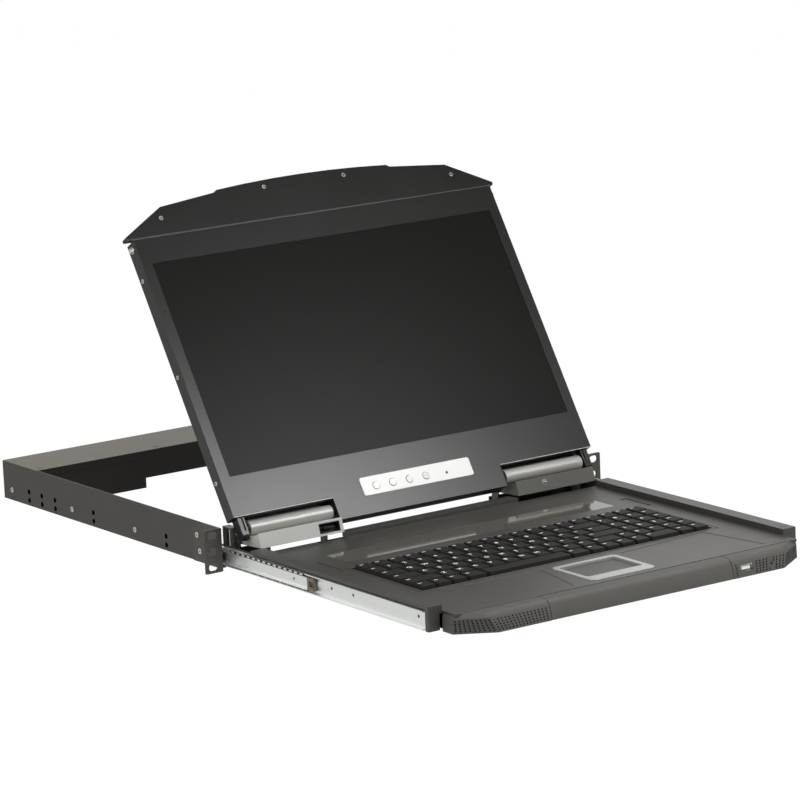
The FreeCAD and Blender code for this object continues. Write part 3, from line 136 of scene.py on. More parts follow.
for start, end in ((sky_place.outputs["Generated"], sky_split.inputs[0]),
                   (sky_split.outputs["Y"], sky_depth.inputs["Value"]),
                   (sky_split.outputs["Z"], sky_lift.inputs["Value"]),
                   (sky_depth.outputs["Result"], sky_shade.inputs[0]),
                   (sky_lift.outputs["Result"], sky_shade.inputs[1]),
                   (sky_shade.outputs[0], sky_dome.inputs["Color"]),
                   (sky_rays.outputs["Is Camera Ray"], sky_mix.inputs["Fac"]),
                   (sky_dome.outputs[0], sky_mix.inputs[1]),
                   (sky_seen.outputs[0], sky_mix.inputs[2]),
                   (sky_mix.outputs[0], sky_out.inputs[0])):
    sky.links.new(start, end)


def soft_lamp(name, spot, aim, size, power):
    """A square soft box that looks at a point."""
    data = bpy.data.lights.new(name, "AREA")
    data.shape = "SQUARE"
    data.size = size
    data.energy = power
    lamp = bpy.data.objects.new(name, data)
    lamp.location = spot
    lamp.rotation_mode = "QUATERNION"
    lamp.rotation_quaternion = (Vector(spot) - Vector(aim)).to_track_quat("Z", "Y")
    bpy.context.scene.collection.objects.link(lamp)


soft_lamp("lamp_key", spot=(-1.0, -2.4, 2.6), aim=(0.0, -0.1, 0.1), size=1.0, power=44.0)
soft_lamp("lamp_left", spot=(-2.4, -0.4, 1.2), aim=(0.0, 0.0, 0.0), size=1.2, power=14.0)
soft_lamp("lamp_right", spot=(0.45, -0.80, 0.72), aim=(-0.14, -0.01, 0.06), size=0.4, power=7.0)
bpy.context.scene.view_settings.view_transform = "Standard"

# %% [markdown]
# ## Floor
# The drawer hangs in its rack, so the floor lies well below it and takes only a faint shadow.
# Its paint glows a little for the camera alone, so it meets the white background without an edge.

# %% Lay the floor
FLOOR_DROP = 0.45
FLOOR_REACH = 9.0
FLOOR_GLOW = 0.9
corner_signs = ((-1, -1), (1, -1), (1, 1), (-1, 1))
floor_corners = [(x * FLOOR_REACH, y * FLOOR_REACH, -FLOOR_DROP) for x, y in corner_signs]
floor_mesh = bpy.data.meshes.new("floor")
floor_mesh.from_pydata(floor_corners, [], [(0, 1, 2, 3)])
floor = bpy.data.objects.new("floor", floor_mesh)
bpy.context.scene.collection.objects.link(floor)
floor_paint = bpy.data.materials.new("pale_floor")
floor_paint.use_nodes = True
tree = floor_paint.node_tree
tree.nodes.clear()
floor_out = node(tree, "ShaderNodeOutputMaterial", (600, 0))
floor_mix = node(tree, "ShaderNodeMixShader", (400, 0))
floor_matt = feed(node(tree, "ShaderNodeBsdfDiffuse", (100, 0)), Color=(0.8, 0.8, 0.79, 1))
floor_white = feed(node(tree, "ShaderNodeEmission", (100, -150)), Color=(1, 1, 1, 1), Strength=1.06)
floor_rays = node(tree, "ShaderNodeLightPath", (-100, 250))
floor_share = node(tree, "ShaderNodeMath", (150, 250), operation="MULTIPLY")
floor_share.inputs[1].default_value = FLOOR_GLOW
tree.links.new(floor_rays.outputs["Is Camera Ray"], floor_share.inputs[0])
tree.links.new(floor_share.outputs[0], floor_mix.inputs["Fac"])
tree.links.new(floor_matt.outputs[0], floor_mix.inputs[1])
tree.links.new(floor_white.outputs[0], floor_mix.inputs[2])
tree.links.new(floor_mix.outputs[0], floor_out.inputs[0])
floor_mesh.materials.append(floor_paint)
print("floor at", -FLOOR_DROP, "m")

# %% [markdown]
# ## Shared surface effects
# Two effects come back in many finishes.  A cast or coated surface has a fine pebble, with slow
# mottling of its tone and shine.  Rolled or brushed metal has long streaks along one axis.  Each
# is a node group that puts out a colour, a roughness and a height, so that every material can
# set its own amounts.

# %% Build the effect groups
def new_group(name, inputs):
    """A shader group with float and colour inputs and the three outputs that all finishes use."""
    group = bpy.data.node_groups.new(name, "ShaderNodeTree")
    for label, kind, value in inputs:
        socket = group.interface.new_socket(label, in_out="INPUT", socket_type=kind)
        socket.default_value = value
    group.interface.new_socket("Colour", in_out="OUTPUT", socket_type="NodeSocketColor")
    group.interface.new_socket("Roughness", in_out="OUTPUT", socket_type="NodeSocketFloat")
    group.interface.new_socket("Height", in_out="OUTPUT", socket_type="NodeSocketFloat")
    return group


FLOAT = "NodeSocketFloat"
COLOUR = "NodeSocketColor"
COMMON = [("Base", COLOUR, (0.1, 0.1, 0.1, 1)), ("Second", COLOUR, (0.12, 0.12, 0.12, 1)),
          ("Rough Low", FLOAT, 0.4), ("Rough High", FLOAT, 0.5)]


def tone_and_shine(group, source, given, result):
    """Blend the two colours and the two roughness values by one slow pattern."""
    blend = node(group, "ShaderNodeMix", (200, 150), data_type="RGBA")
    shine = node(group, "ShaderNodeMapRange", (200, -80))
    group.links.new(source, blend.inputs["Factor"])
    group.links.new(given.outputs["Base"], blend.inputs["A"])
    group.links.new(given.outputs["Second"], blend.inputs["B"])
    group.links.new(source, shine.inputs["Value"])
    group.links.new(given.outputs["Rough Low"], shine.inputs["To Min"])
    group.links.new(given.outputs["Rough High"], shine.inputs["To Max"])
    group.links.new(blend.outputs["Result"], result.inputs["Colour"])
    group.links.new(shine.outputs["Result"], result.inputs["Roughness"])


pebble = new_group("pebble", COMMON + [("Grain", FLOAT, 2500.0), ("Mottle", FLOAT, 22.0)])
given = node(pebble, "NodeGroupInput", (-600, 0))
result = node(pebble, "NodeGroupOutput", (500, 0))
place = node(pebble, "ShaderNodeTexCoord", (-600, -250))
slow = feed(node(pebble, "ShaderNodeTexNoise", (-200, 150)), Detail=4.0, Roughness=0.6)
fine = feed(node(pebble, "ShaderNodeTexNoise", (-200, -150)), Detail=2.0, Roughness=0.5)
for noise, size in ((slow, "Mottle"), (fine, "Grain")):
    pebble.links.new(place.outputs["Object"], noise.inputs["Vector"])
    pebble.links.new(given.outputs[size], noise.inputs["Scale"])
tone_and_shine(pebble, slow.outputs["Fac"], given, result)
pebble.links.new(fine.outputs["Fac"], result.inputs["Height"])

streaks = new_group("streaks", COMMON + [("Across", FLOAT, 900.0), ("Along", FLOAT, 12.0)])
given = node(streaks, "NodeGroupInput", (-900, 0))
result = node(streaks, "NodeGroupOutput", (500, 0))
place = node(streaks, "ShaderNodeTexCoord", (-900, -250))
stretch = node(streaks, "ShaderNodeCombineXYZ", (-650, -100))
scaled = node(streaks, "ShaderNodeVectorMath", (-420, -100), operation="MULTIPLY")
lines = feed(node(streaks, "ShaderNodeTexNoise", (-200, 0)), Scale=1.0, Detail=3.0, Roughness=0.55)
for axis, size in (("X", "Across"), ("Y", "Along"), ("Z", "Across")):
    streaks.links.new(given.outputs[size], stretch.inputs[axis])
streaks.links.new(place.outputs["Object"], scaled.inputs[0])
streaks.links.new(stretch.outputs[0], scaled.inputs[1])
streaks.links.new(scaled.outputs[0], lines.inputs["Vector"])
tone_and_shine(streaks, lines.outputs["Fac"], given, result)
streaks.links.new(lines.outputs["Fac"], result.inputs["Height"])
print("effect groups:", [g.name for g in bpy.data.node_groups])

# %% [markdown]
# ## Finishes
# Each finish names the two tones it drifts between, the range of its shine, how metallic it is,
# and how deep its texture goes.  Numbers are linear light, as the shader wants them.

# %% Define a finish
FINISHES = {}


def finish(name, effect, base, second, rough, bump, metal=0.0, coat=0.0, specular=0.5, **sizes):
    """A Principled material fed by one effect group."""
    material = bpy.data.materials.new(name)
    material.use_nodes = True
    tree = material.node_tree
    shader = tree.nodes["Principled BSDF"]
    shader.inputs["Metallic"].default_value = metal
    shader.inputs["Coat Weight"].default_value = coat
    shader.inputs["Specular IOR Level"].default_value = specular
    group = node(tree, "ShaderNodeGroup", (-500, 0), node_tree=effect)
    group.inputs["Base"].default_value = (*base, 1)
    group.inputs["Second"].default_value = (*second, 1)
    group.inputs["Rough Low"].default_value = rough[0]
    group.inputs["Rough High"].default_value = rough[1]
    for label, value in sizes.items():
        group.inputs[label].default_value = value
    relief = feed(node(tree, "ShaderNodeBump", (-250, -250)), Strength=bump, Distance=0.0002)
    tree.links.new(group.outputs["Colour"], shader.inputs["Base Color"])
    tree.links.new(group.outputs["Roughness"], shader.inputs["Roughness"])
    tree.links.new(group.outputs["Height"], relief.inputs["Height"])
    tree.links.new(relief.outputs["Normal"], shader.inputs["Normal"])
    FINISHES[name] = material


print("finishes so far:", len(FINISHES))

# %% [markdown]
# The chassis and the display are powder-coated sheet, the deck and the keys are moulded, and the
# slides are zinc-plated.  The left hinge housing is silver and the right one dark.  Each line below
# is one recipe, and a dictionary keeps them by name for the pieces further down.

# %% Mix the finishes
finish("chassis_coat", pebble, (0.034, 0.031, 0.026), (0.042, 0.038, 0.032), (0.42, 0.55), 0.25)
# Painted light: the chassis paint, lighter and warmer on the cover's top, which is lit from above.
finish("lit_top_coat", pebble, (0.074, 0.062, 0.016), (0.082, 0.069, 0.022), (0.36, 0.46), 0.2)
finish("ear_coat", pebble, (0.046, 0.043, 0.036), (0.054, 0.050, 0.043), (0.42, 0.55), 0.25)
finish("panel_coat", pebble, (0.009, 0.009, 0.008), (0.012, 0.012, 0.011), (0.29, 0.34), 0.05)
# Painted shade: the chassis paint darkened for faces that look to the front, which lie in shade.
finish("front_shade_coat", pebble, (0.012, 0.010, 0.009), (0.015, 0.013, 0.011), (0.55, 0.65), 0.2,
       specular=0.3)
finish("tray_coat", pebble, (0.022, 0.020, 0.018), (0.028, 0.026, 0.023), (0.45, 0.55), 0.2)
finish("deck_mould", pebble, (0.036, 0.034, 0.027), (0.042, 0.040, 0.033), (0.38, 0.46), 0.30,
       specular=0.7, Grain=1700.0)
finish("grip_mould", pebble, (0.062, 0.059, 0.050), (0.068, 0.065, 0.056), (0.52, 0.62), 0.5,
       Grain=1700.0)
finish("key_mould", pebble, (0.010, 0.009, 0.008), (0.013, 0.012, 0.011), (0.55, 0.65), 0.35,
       specular=0.2, Grain=2600.0)
finish("dark_mould", pebble, (0.012, 0.011, 0.010), (0.016, 0.015, 0.014), (0.5, 0.6), 0.3)
finish("window_gloss", pebble, (0.090, 0.086, 0.072), (0.098, 0.094, 0.080), (0.06, 0.10), 0.01,
       coat=0.3)
finish("screen_glass", pebble, (0.003, 0.003, 0.0025), (0.004, 0.004, 0.003), (0.38, 0.42), 0.02,
       specular=0.16)
finish("zinc_bright", streaks, (0.86, 0.88, 0.86), (0.95, 0.97, 0.95), (0.26, 0.40), 0.15,
       metal=0.9)
finish("cage_zinc", streaks, (0.40, 0.39, 0.34), (0.52, 0.50, 0.44), (0.3, 0.45), 0.15, metal=1.0)
finish("stop_nylon", pebble, (0.12, 0.11, 0.065), (0.16, 0.145, 0.09), (0.45, 0.6), 0.3)
# Also used for the lip's edge strip, which is partly bare metal and partly a painted highlight.
finish("zinc_and_edge_highlight", pebble, (0.10, 0.10, 0.095), (0.14, 0.14, 0.13), (0.4, 0.5), 0.2, metal=0.5)
# Also used for the painted highlights on the bezel's cut edges above the barrels.
finish("link_silver", pebble, (0.47, 0.48, 0.44), (0.51, 0.52, 0.48), (0.38, 0.48), 0.2)
finish("link_dark", pebble, (0.095, 0.093, 0.080), (0.105, 0.103, 0.090), (0.38, 0.46), 0.2)
finish("barrel_silver", pebble, (0.40, 0.397, 0.37), (0.45, 0.445, 0.42), (0.42, 0.48), 0.06,
       metal=0.4)
finish("pad_silver", pebble, (0.38, 0.38, 0.36), (0.44, 0.44, 0.42), (0.3, 0.4), 0.15, metal=0.5)
finish("pad_film", pebble, (0.050, 0.049, 0.042), (0.058, 0.056, 0.050), (0.40, 0.50), 0.3)
finish("screw_zinc", pebble, (0.62, 0.60, 0.54), (0.74, 0.72, 0.66), (0.25, 0.4), 0.15, metal=1.0)
finish("shell_metal", streaks, (0.62, 0.63, 0.62), (0.74, 0.75, 0.73), (0.25, 0.35), 0.1, metal=1.0)
finish("black_gloss", pebble, (0.010, 0.010, 0.010), (0.013, 0.013, 0.012), (0.2, 0.3), 0.05)
finish("osd_white", pebble, (0.77, 0.78, 0.75), (0.80, 0.81, 0.78), (0.28, 0.36), 0.04)
finish("osd_grey", pebble, (0.36, 0.37, 0.36), (0.42, 0.43, 0.42), (0.25, 0.35), 0.08, metal=0.3)
finish("board_mask", pebble, (0.012, 0.11, 0.045), (0.016, 0.14, 0.06), (0.3, 0.4), 0.15)
finish("supply_tin", streaks, (0.45, 0.46, 0.45), (0.58, 0.59, 0.58), (0.35, 0.5), 0.15, metal=1.0)
# Painted shade: black for recesses, open holes and grip studs, where shade falls.
finish("painted_shade_black", pebble, (0.002, 0.002, 0.002), (0.003, 0.003, 0.003), (0.85, 0.95), 0.0,
       specular=0.0)
finish("legend_ink", pebble, (0.80, 0.80, 0.75), (0.88, 0.88, 0.83), (0.5, 0.6), 0.1)
print("finishes:", len(FINISHES))

# %% [markdown]
# ## Dressing a CAD node
# CAD gives knife-sharp edges, and no real edge is that sharp: folded steel and moulded plastic
# catch a thin line of light.  So each visible node is copied, its triangles are merged back into
# flat faces, and its edges are rounded by a small bevel.

# %% Define the dressing
WELD = 0.002 * MM
SHARP = math.radians(40)


def welded_copy(source, joined):
    """A clean mesh from a CAD node, welded and, where asked, with its flat areas joined."""
    shape = bmesh.new()
    shape.from_mesh(frame["nodes"][source].data)
    bmesh.ops.remove_doubles(shape, verts=shape.verts, dist=WELD)
    if joined:
        bmesh.ops.dissolve_limit(shape, angle_limit=math.radians(1.0), verts=shape.verts,
                                 edges=shape.edges)
    mesh = bpy.data.meshes.new(source + "_dressed")
    shape.to_mesh(mesh)
    shape.free()
    return mesh


def bake(obj):
    """Turn an object's modifiers into plain mesh."""
    finished = obj.evaluated_get(bpy.context.evaluated_depsgraph_get())
    made = bpy.data.meshes.new_from_object(finished)
    obj.modifiers.clear()
    obj.data = made
    return obj


def show(obj, material, body):
    """Give a finished mesh its finish and let it ride on a body."""
    obj.data.materials.clear()
    obj.data.materials.append(material)
    for polygon in obj.data.polygons:
        polygon.material_index = 0
    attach(obj, body)


def soften(obj, round_mm):
    """Round the sharp edges and let the flat faces keep their own direction."""
    obj.data.shade_smooth()
    obj.data.set_sharp_from_angle(angle=SHARP)
    if round_mm:
        bevel = obj.modifiers.new("round", "BEVEL")
        bevel.width = round_mm * MM
        bevel.segments = 2
        bevel.limit_method = "ANGLE"
        bevel.angle_limit = math.radians(35)
        bevel.use_clamp_overlap = True
    even = obj.modifiers.new("even", "WEIGHTED_NORMAL")
    even.mode = "FACE_AREA"
    even.weight = 50
    even.keep_sharp = not round_mm
    return bake(obj)


def dress(source, material, round_mm):
    """Show a CAD node with softened edges and a finish."""
    obj = bpy.data.objects.new(source + "_skin", welded_copy(source, round_mm > 0))
    bpy.context.scene.collection.objects.link(obj)
    show(soften(obj, round_mm), material, body_of[source])
    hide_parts(source)


print("edges sharper than", round(math.degrees(SHARP)), "degrees keep a crease")

# %% [markdown]
# Most pieces have one finish all over, so a table of finishes is enough.  A second table gives the
# bevel where the usual one would eat up a thin sheet or would be too small for a soft moulding.

# %% Dress the nodes
USUAL_ROUND = 0.4
PLAIN = {
    "chassis_coat": ["side_wall_left", "side_wall_right", "rear_box", "rear_panel"],
    "front_shade_coat": ["box_front"],
    "lit_top_coat": ["rear_box_cover"],
    "ear_coat": ["rack_ear_left", "rack_ear_right"],
    "zinc_bright": ["slide_outer_members", "slide_middle_left", "slide_middle_right",
                    "slide_inner_members"],
    "cage_zinc": ["front_ball_cage_left", "front_ball_cage_right", "rear_ball_cage_left",
                  "rear_ball_cage_right"],
    "stop_nylon": ["slide_bumper_left", "slide_bumper_right"],
    "tray_coat": ["tray_pan"],
    "deck_mould": ["keyboard_deck"],
    "grip_mould": ["grips", "front_handle"],
    "window_gloss": ["window_strip"],
    "pad_silver": ["touchpad_frame", "touchpad_button_left", "touchpad_button_right"],
    "pad_film": ["touchpad_pad"],
    "dark_mould": ["keyboard_plate"],
    "key_mould": ["keys_function_row", "keys_number_row", "keys_upper_row", "keys_home_row",
                  "keys_lower_row", "keys_space_row"],
    "board_mask": ["main_board", "controller_board"],
    "supply_tin": ["power_supply"],
    "black_gloss": ["power_inlet", "power_rocker", "hinge_port_left"],
    "shell_metal": ["rear_ports", "usb_port", "hinge_jack_right"],
    "screw_zinc": ["chassis_screws", "tray_screws", "display_pins_and_screws"],
    "zinc_and_edge_highlight": ["hinge_brackets"],
    "link_silver": ["hinge_housing_left"],
    "link_dark": ["hinge_housing_right"],
    "barrel_silver": ["hinge_barrels"],
    "panel_coat": ["display_back_cover", "display_bezel", "lip_plate", "display_hinge_arms"],
    "screen_glass": ["lcd_panel"],
    "osd_white": ["osd_plate"],
    "osd_grey": ["osd_button_1", "osd_button_2", "osd_button_3", "osd_button_4"],
}
ROUNDS = {
    0.0: ["front_ball_cage_left", "front_ball_cage_right", "rear_ball_cage_left",
          "rear_ball_cage_right", "lcd_panel"],
    0.1: ["osd_plate", "usb_port", "hinge_jack_right"],
    0.15: ["window_strip", "touchpad_button_left", "touchpad_button_right", "rear_ports",
           "hinge_port_left"],
    0.2: ["power_inlet", "slide_outer_members", "slide_middle_left", "slide_middle_right"],
    0.25: ["display_pins_and_screws", "chassis_screws", "tray_screws", "slide_inner_members"],
    0.3: ["rack_ear_left", "rack_ear_right"],
    0.45: ["side_wall_left", "side_wall_right"],
    0.6: ["display_bezel"],
    0.7: ["lip_plate"],
    1.0: ["front_handle", "grips"],
}
round_of = {source: size for size, sources in ROUNDS.items() for source in sources}
for finish_name, sources in PLAIN.items():
    for source in sources:
        dress(source, FINISHES[finish_name], round_of.get(source, USUAL_ROUND))

print("dressed nodes:", sum(len(sources) for sources in PLAIN.values()))

# %% [markdown]
# Two pieces need a second finish on some of their faces.  The screws in the box's top share the
# cover's paint, lightened as painted light from above, and the cover's front skirt is painted
# dark as shade, like the front below it.

# %% Paint the second finishes
COVER_HEIGHT = 21.4
# Painted light: screw heads above the cover's height take the cover's lighter top paint.
heads = bpy.data.objects["chassis_screws_skin"].data
heads.materials.append(FINISHES["lit_top_coat"])
for polygon in heads.polygons:
    polygon.material_index = int(polygon.center.z > COVER_HEIGHT * MM)
# Painted shade: the cover's faces that look to the front take the darker front shade coat.
skirt = bpy.data.objects["rear_box_cover_skin"].data
skirt.materials.append(FINISHES["front_shade_coat"])
for polygon in skirt.polygons:
    polygon.material_index = int(polygon.normal.y < -0.7)
print("painted faces:", sum(polygon.material_index for polygon in heads.polygons),
      "and", sum(polygon.material_index for polygon in skirt.polygons))

# %% [markdown]
# ## A tree for what repeats
# Screws, rings, grip studs and bearing balls all repeat one small form at many places.  One node
# tree per form takes a cloud of points, each with the turn its copy gets, sets a primitive of the
# given size on every point, makes the copies real and gives them their finish.

# %% Build the trees
def repeat_tree(form):
    """A geometry tree that puts one cone, ball or bar on every point."""
    tree = bpy.data.node_groups.new("repeat_" + form, "GeometryNodeTree")
    face = tree.interface
    face.new_socket("Points", in_out="INPUT", socket_type="NodeSocketGeometry")
    for label in ("Width", "Top Width", "Height"):
        face.new_socket(label, in_out="INPUT", socket_type="NodeSocketFloat").default_value = 0.001
    face.new_socket("Finish", in_out="INPUT", socket_type="NodeSocketMaterial")
    face.new_socket("Copies", in_out="OUTPUT", socket_type="NodeSocketGeometry")
    given = node(tree, "NodeGroupInput", (-900, 0))
    result = node(tree, "NodeGroupOutput", (700, 0))
    half = node(tree, "ShaderNodeMath", (-650, -100), operation="MULTIPLY")
    half.inputs[1].default_value = 0.5
    tree.links.new(given.outputs["Width"], half.inputs[0])
    if form == "cone":
        half_top = node(tree, "ShaderNodeMath", (-650, -300), operation="MULTIPLY")
        half_top.inputs[1].default_value = 0.5
        tree.links.new(given.outputs["Top Width"], half_top.inputs[0])
        shape = node(tree, "GeometryNodeMeshCone", (-400, -150))
        shape.inputs["Vertices"].default_value = 20
        tree.links.new(half.outputs[0], shape.inputs["Radius Bottom"])
        tree.links.new(half_top.outputs[0], shape.inputs["Radius Top"])
        tree.links.new(given.outputs["Height"], shape.inputs["Depth"])
    elif form == "ball":
        shape = node(tree, "GeometryNodeMeshUVSphere", (-400, -150))
        shape.inputs["Segments"].default_value = 14
        shape.inputs["Rings"].default_value = 8
        tree.links.new(half.outputs[0], shape.inputs["Radius"])
    else:
        sides = node(tree, "ShaderNodeCombineXYZ", (-600, -300))
        for socket, axis in (("Width", "X"), ("Top Width", "Y"), ("Height", "Z")):
            tree.links.new(given.outputs[socket], sides.inputs[axis])
        shape = node(tree, "GeometryNodeMeshCube", (-400, -150))
        tree.links.new(sides.outputs[0], shape.inputs["Size"])
    turn = node(tree, "GeometryNodeInputNamedAttribute", (-400, 200), data_type="FLOAT_VECTOR")
    turn.inputs["Name"].default_value = "turn"
    place = node(tree, "GeometryNodeInstanceOnPoints", (-100, 0))
    real = node(tree, "GeometryNodeRealizeInstances", (150, 0))
    coat = node(tree, "GeometryNodeSetMaterial", (400, 0))
    tree.links.new(given.outputs["Points"], place.inputs["Points"])
    tree.links.new(shape.outputs["Mesh"], place.inputs["Instance"])
    tree.links.new(turn.outputs["Attribute"], place.inputs["Rotation"])
    tree.links.new(place.outputs["Instances"], real.inputs["Geometry"])
    tree.links.new(real.outputs["Geometry"], coat.inputs["Geometry"])
    tree.links.new(given.outputs["Finish"], coat.inputs["Material"])
    tree.links.new(coat.outputs["Geometry"], result.inputs["Copies"])
    return tree


TREES = {form: repeat_tree(form) for form in ("cone", "ball", "bar")}
print("trees:", [tree.name for tree in TREES.values()])

# %% [markdown]
# A tree is used through a modifier.  The modifier knows its inputs by their identifiers, so those
# are looked up from the plain names first, and the result is then made a plain mesh.

# %% Define the repeats
def repeat(name, form, spots, body, material, width, top=None, height=0.3):
    """Copies of one form at spots, each a point in millimetres and the way its copy faces."""
    mesh = bpy.data.meshes.new(name + "_points")
    mesh.from_pydata([Vector(point) * MM for point, facing in spots], [], [])
    turns = mesh.attributes.new("turn", "FLOAT_VECTOR", "POINT")
    for item, (point, facing) in zip(turns.data, spots):
        item.vector = Vector(facing).to_track_quat("Z", "Y").to_euler()
    obj = bpy.data.objects.new(name, mesh)
    bpy.context.scene.collection.objects.link(obj)
    tree = TREES[form]
    maker = obj.modifiers.new("repeat", "NODES")
    maker.node_group = tree
    top_width = width if top is None else top
    sizes = {"Width": width * MM, "Top Width": top_width * MM, "Height": height * MM,
             "Finish": material}
    for item in tree.interface.items_tree:
        if item.item_type == "SOCKET" and item.name in sizes:
            maker[item.identifier] = sizes[item.name]
    bake(obj)
    obj.data.shade_smooth()
    obj.data.set_sharp_from_angle(angle=SHARP)
    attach(obj, body)


print("forms to repeat:", sorted(TREES))

# %% [markdown]
# ## Screws and rings
# The chassis is screwed together through its sides and the slides are fixed by one screw in each
# fixing hole.  Every head's cross recess is painted black as shade.  The other holes are dimpled
# for countersunk screws and stay open, and their openings are painted as dark rings of shade.

# %% Find places on the display
OPEN_ANGLE = math.radians(122.14)
ALONG = Vector((0, -math.cos(OPEN_ANGLE), math.sin(OPEN_ANGLE)))
FACE = Vector((0, -math.sin(OPEN_ANGLE), -math.cos(OPEN_ANGLE)))
TILT_AXIS = Vector((0, -18.1, 20.3))


def on_display(x, s, n):
    """A point given across, up and out of the opened display."""
    return Vector((x, 0, 0)) + TILT_AXIS + ALONG * s + FACE * n


print("the display leans back by", round(math.degrees(OPEN_ANGLE)) - 90, "degrees")

# %% [markdown]
# The screws' heads are CAD pieces already, so only the recesses are laid on them: two crossed bars
# for each, just proud of the head, painted black as the shade inside the recess.

# %% Set the screws' recesses and the rings
WALL = 222.9
SHEET = 1.2
HEAD = 0.8
PROUD = 0.03
SLIDE_Z = -7.7
SLIDE_SCREWS = (159.0, 282.5, 406.0)
EAR_SCREWS = ((35.0, SLIDE_Z), (39.0, 8.2))
RING_YS = (100.0, 240.5, 317.6, 344.8, 371.0)
RING_ZS = (-4.2, -13.2)
RIM_X = 218.0
RIM_SCREWS = (51.0, 165.0, 270.0)
LIP_SCREWS = ((177.0, 330.3), (48.5, 347.2))
wall_screws = []
rings = []
display_screws = []
for side in (-1, 1):
    out = (side, 0, 0)
    wall_screws += [((side * (WALL + HEAD), y, SLIDE_Z), out) for y in SLIDE_SCREWS]
    wall_screws += [((side * (WALL + SHEET + HEAD), y, z), out) for y, z in EAR_SCREWS]
    rings += [((side * (WALL + PROUD), y, z), out) for y in RING_YS for z in RING_ZS]
    display_screws += [(on_display(side * RIM_X, s, -1.0), out) for s in RIM_SCREWS]
    display_screws += [(on_display(side * x, s, 7.2), FACE) for x, s in LIP_SCREWS]
# Painted shade: the recesses and the rings are black, standing for the shade inside them.
for name, spots, body in (("wall_recess", wall_screws, "chassis"),
                          ("display_recess", display_screws, "display")):
    repeat(name + "_a", "bar", spots, body, FINISHES["painted_shade_black"], 2.4, 0.55, 0.06)
    repeat(name + "_b", "bar", spots, body, FINISHES["painted_shade_black"], 0.55, 2.4, 0.06)
repeat("wall_rings", "cone", rings, "chassis", FINISHES["painted_shade_black"], 5.4, 5.4, 0.06)
print("recesses:", len(wall_screws) + len(display_screws), "rings:", len(rings))

# %% [markdown]
# ## Grips
# The two ends of the handle are pulled by hand, so their faces carry rows of small studs, coloured
# black as painted shade.  Each face is a flat quadrilateral, and the studs lie on it by shares of
# its length and height.  None lie where the socket and the pin hole open.

# %% Stud the grips
def studs_on(quad, columns, rows):
    """A grid of spots on a quadrilateral, given as foot start, foot end, top start, top end."""
    a, b, c, d = [Vector(corner) for corner in quad]
    facing = (b - a).cross(c - a).normalized()
    if facing.y > 0:
        facing = -facing
    spots = []
    for row in range(rows):
        v = 0.18 + 0.66 * row / (rows - 1)
        for column in range(columns):
            u = (column + 0.6) / (columns + 0.2)
            low = a.lerp(b, u)
            high = c.lerp(d, u)
            spots.append((low.lerp(high, v) + facing * 0.05, facing))
    return spots


FOOT = -19.0
HEEL = -5.0
SOCKET_SPAN = (113.5, 134.5)
PIN_SPAN = (151.5, 156.5)
studs = []
for side in (-1, 1):
    seam_low = (side * 109.5, -383.0, FOOT)
    seam_high = (side * 109.5, -378.5, HEEL)
    corner_low = (side * 168.0, -383.0, FOOT)
    corner_high = (side * 174.0, -378.5, HEEL)
    end_low = (side * 203.2, -360.0, FOOT)
    end_high = (side * 203.0, -359.5, HEEL)
    studs += studs_on((seam_low, corner_low, seam_high, corner_high), columns=15, rows=5)
    studs += studs_on((corner_low, end_low, corner_high, end_high), columns=9, rows=5)
for start, end in (SOCKET_SPAN, PIN_SPAN):
    studs = [spot for spot in studs if not start < spot[0].x < end]
# Painted shade: the studs are black, standing for the shade around them.
repeat("grip_studs", "cone", studs, "drawer", FINISHES["painted_shade_black"], 1.5, 1.1, 0.4)
print("studs:", len(studs))

# %% [markdown]
# ## Socket tongue
# The port in the right grip has a white tongue, which shows a little way inside its mouth.

# %% Set the tongue
mouth = [vertex.co / MM for vertex in frame["nodes"]["usb_port"].data.vertices]
low, high = [Vector([pick(co[i] for co in mouth) for i in range(3)]) for pick in (min, max)]
middle = low.lerp(high, 0.5)
tongue = [((middle.x, low.y + 1.0, middle.z), (0, -1, 0))]
repeat("usb_tongue", "bar", tongue, "drawer", FINISHES["osd_white"],
       (high.x - low.x) * 0.72, (high.z - low.z) * 0.42, 1.2)
print("socket is", round(high.x - low.x, 1), "mm wide")

# %% [markdown]
# ## Bearing balls
# The balls of the slides run in a pressed strip that keeps them apart.  The CAD balls have few
# faces, so each gets a smooth one round it.

# %% Put the balls in their cages
BALL_WIDTH = 2.24


def small_islands(source, limit_mm):
    """Centres, in millimetres, of a node's separate pieces that are smaller than a limit."""
    shape = bmesh.new()
    shape.from_mesh(frame["nodes"][source].data)
    bmesh.ops.remove_doubles(shape, verts=shape.verts, dist=WELD)
    centres = []
    left = set(shape.verts)
    while left:
        group = [left.pop()]
        for vertex in group:
            for edge in vertex.link_edges:
                other = edge.other_vert(vertex)
                if other in left:
                    left.remove(other)
                    group.append(other)
        low = Vector([min(v.co[i] for v in group) for i in range(3)])
        high = Vector([max(v.co[i] for v in group) for i in range(3)])
        if max(high - low) < limit_mm * MM:
            centres.append((low + high) / 2 / MM)
    shape.free()
    return centres


for side in ("left", "right"):
    for place in ("front", "rear"):
        centres = small_islands(place + "_ball_cage_" + side, 4.0)
        repeat(place + "_balls_" + side, "ball", [(c, (0, 0, 1)) for c in centres],
               place + "_cage_" + side, FINISHES["zinc_bright"], BALL_WIDTH)
        print(place, side, "balls:", len(centres))

# %% [markdown]
# ## Retainer strips
# Above each middle member the edge of the ball retainer shows: a strip painted dark as shade,
# with one bright window for every ball behind it.

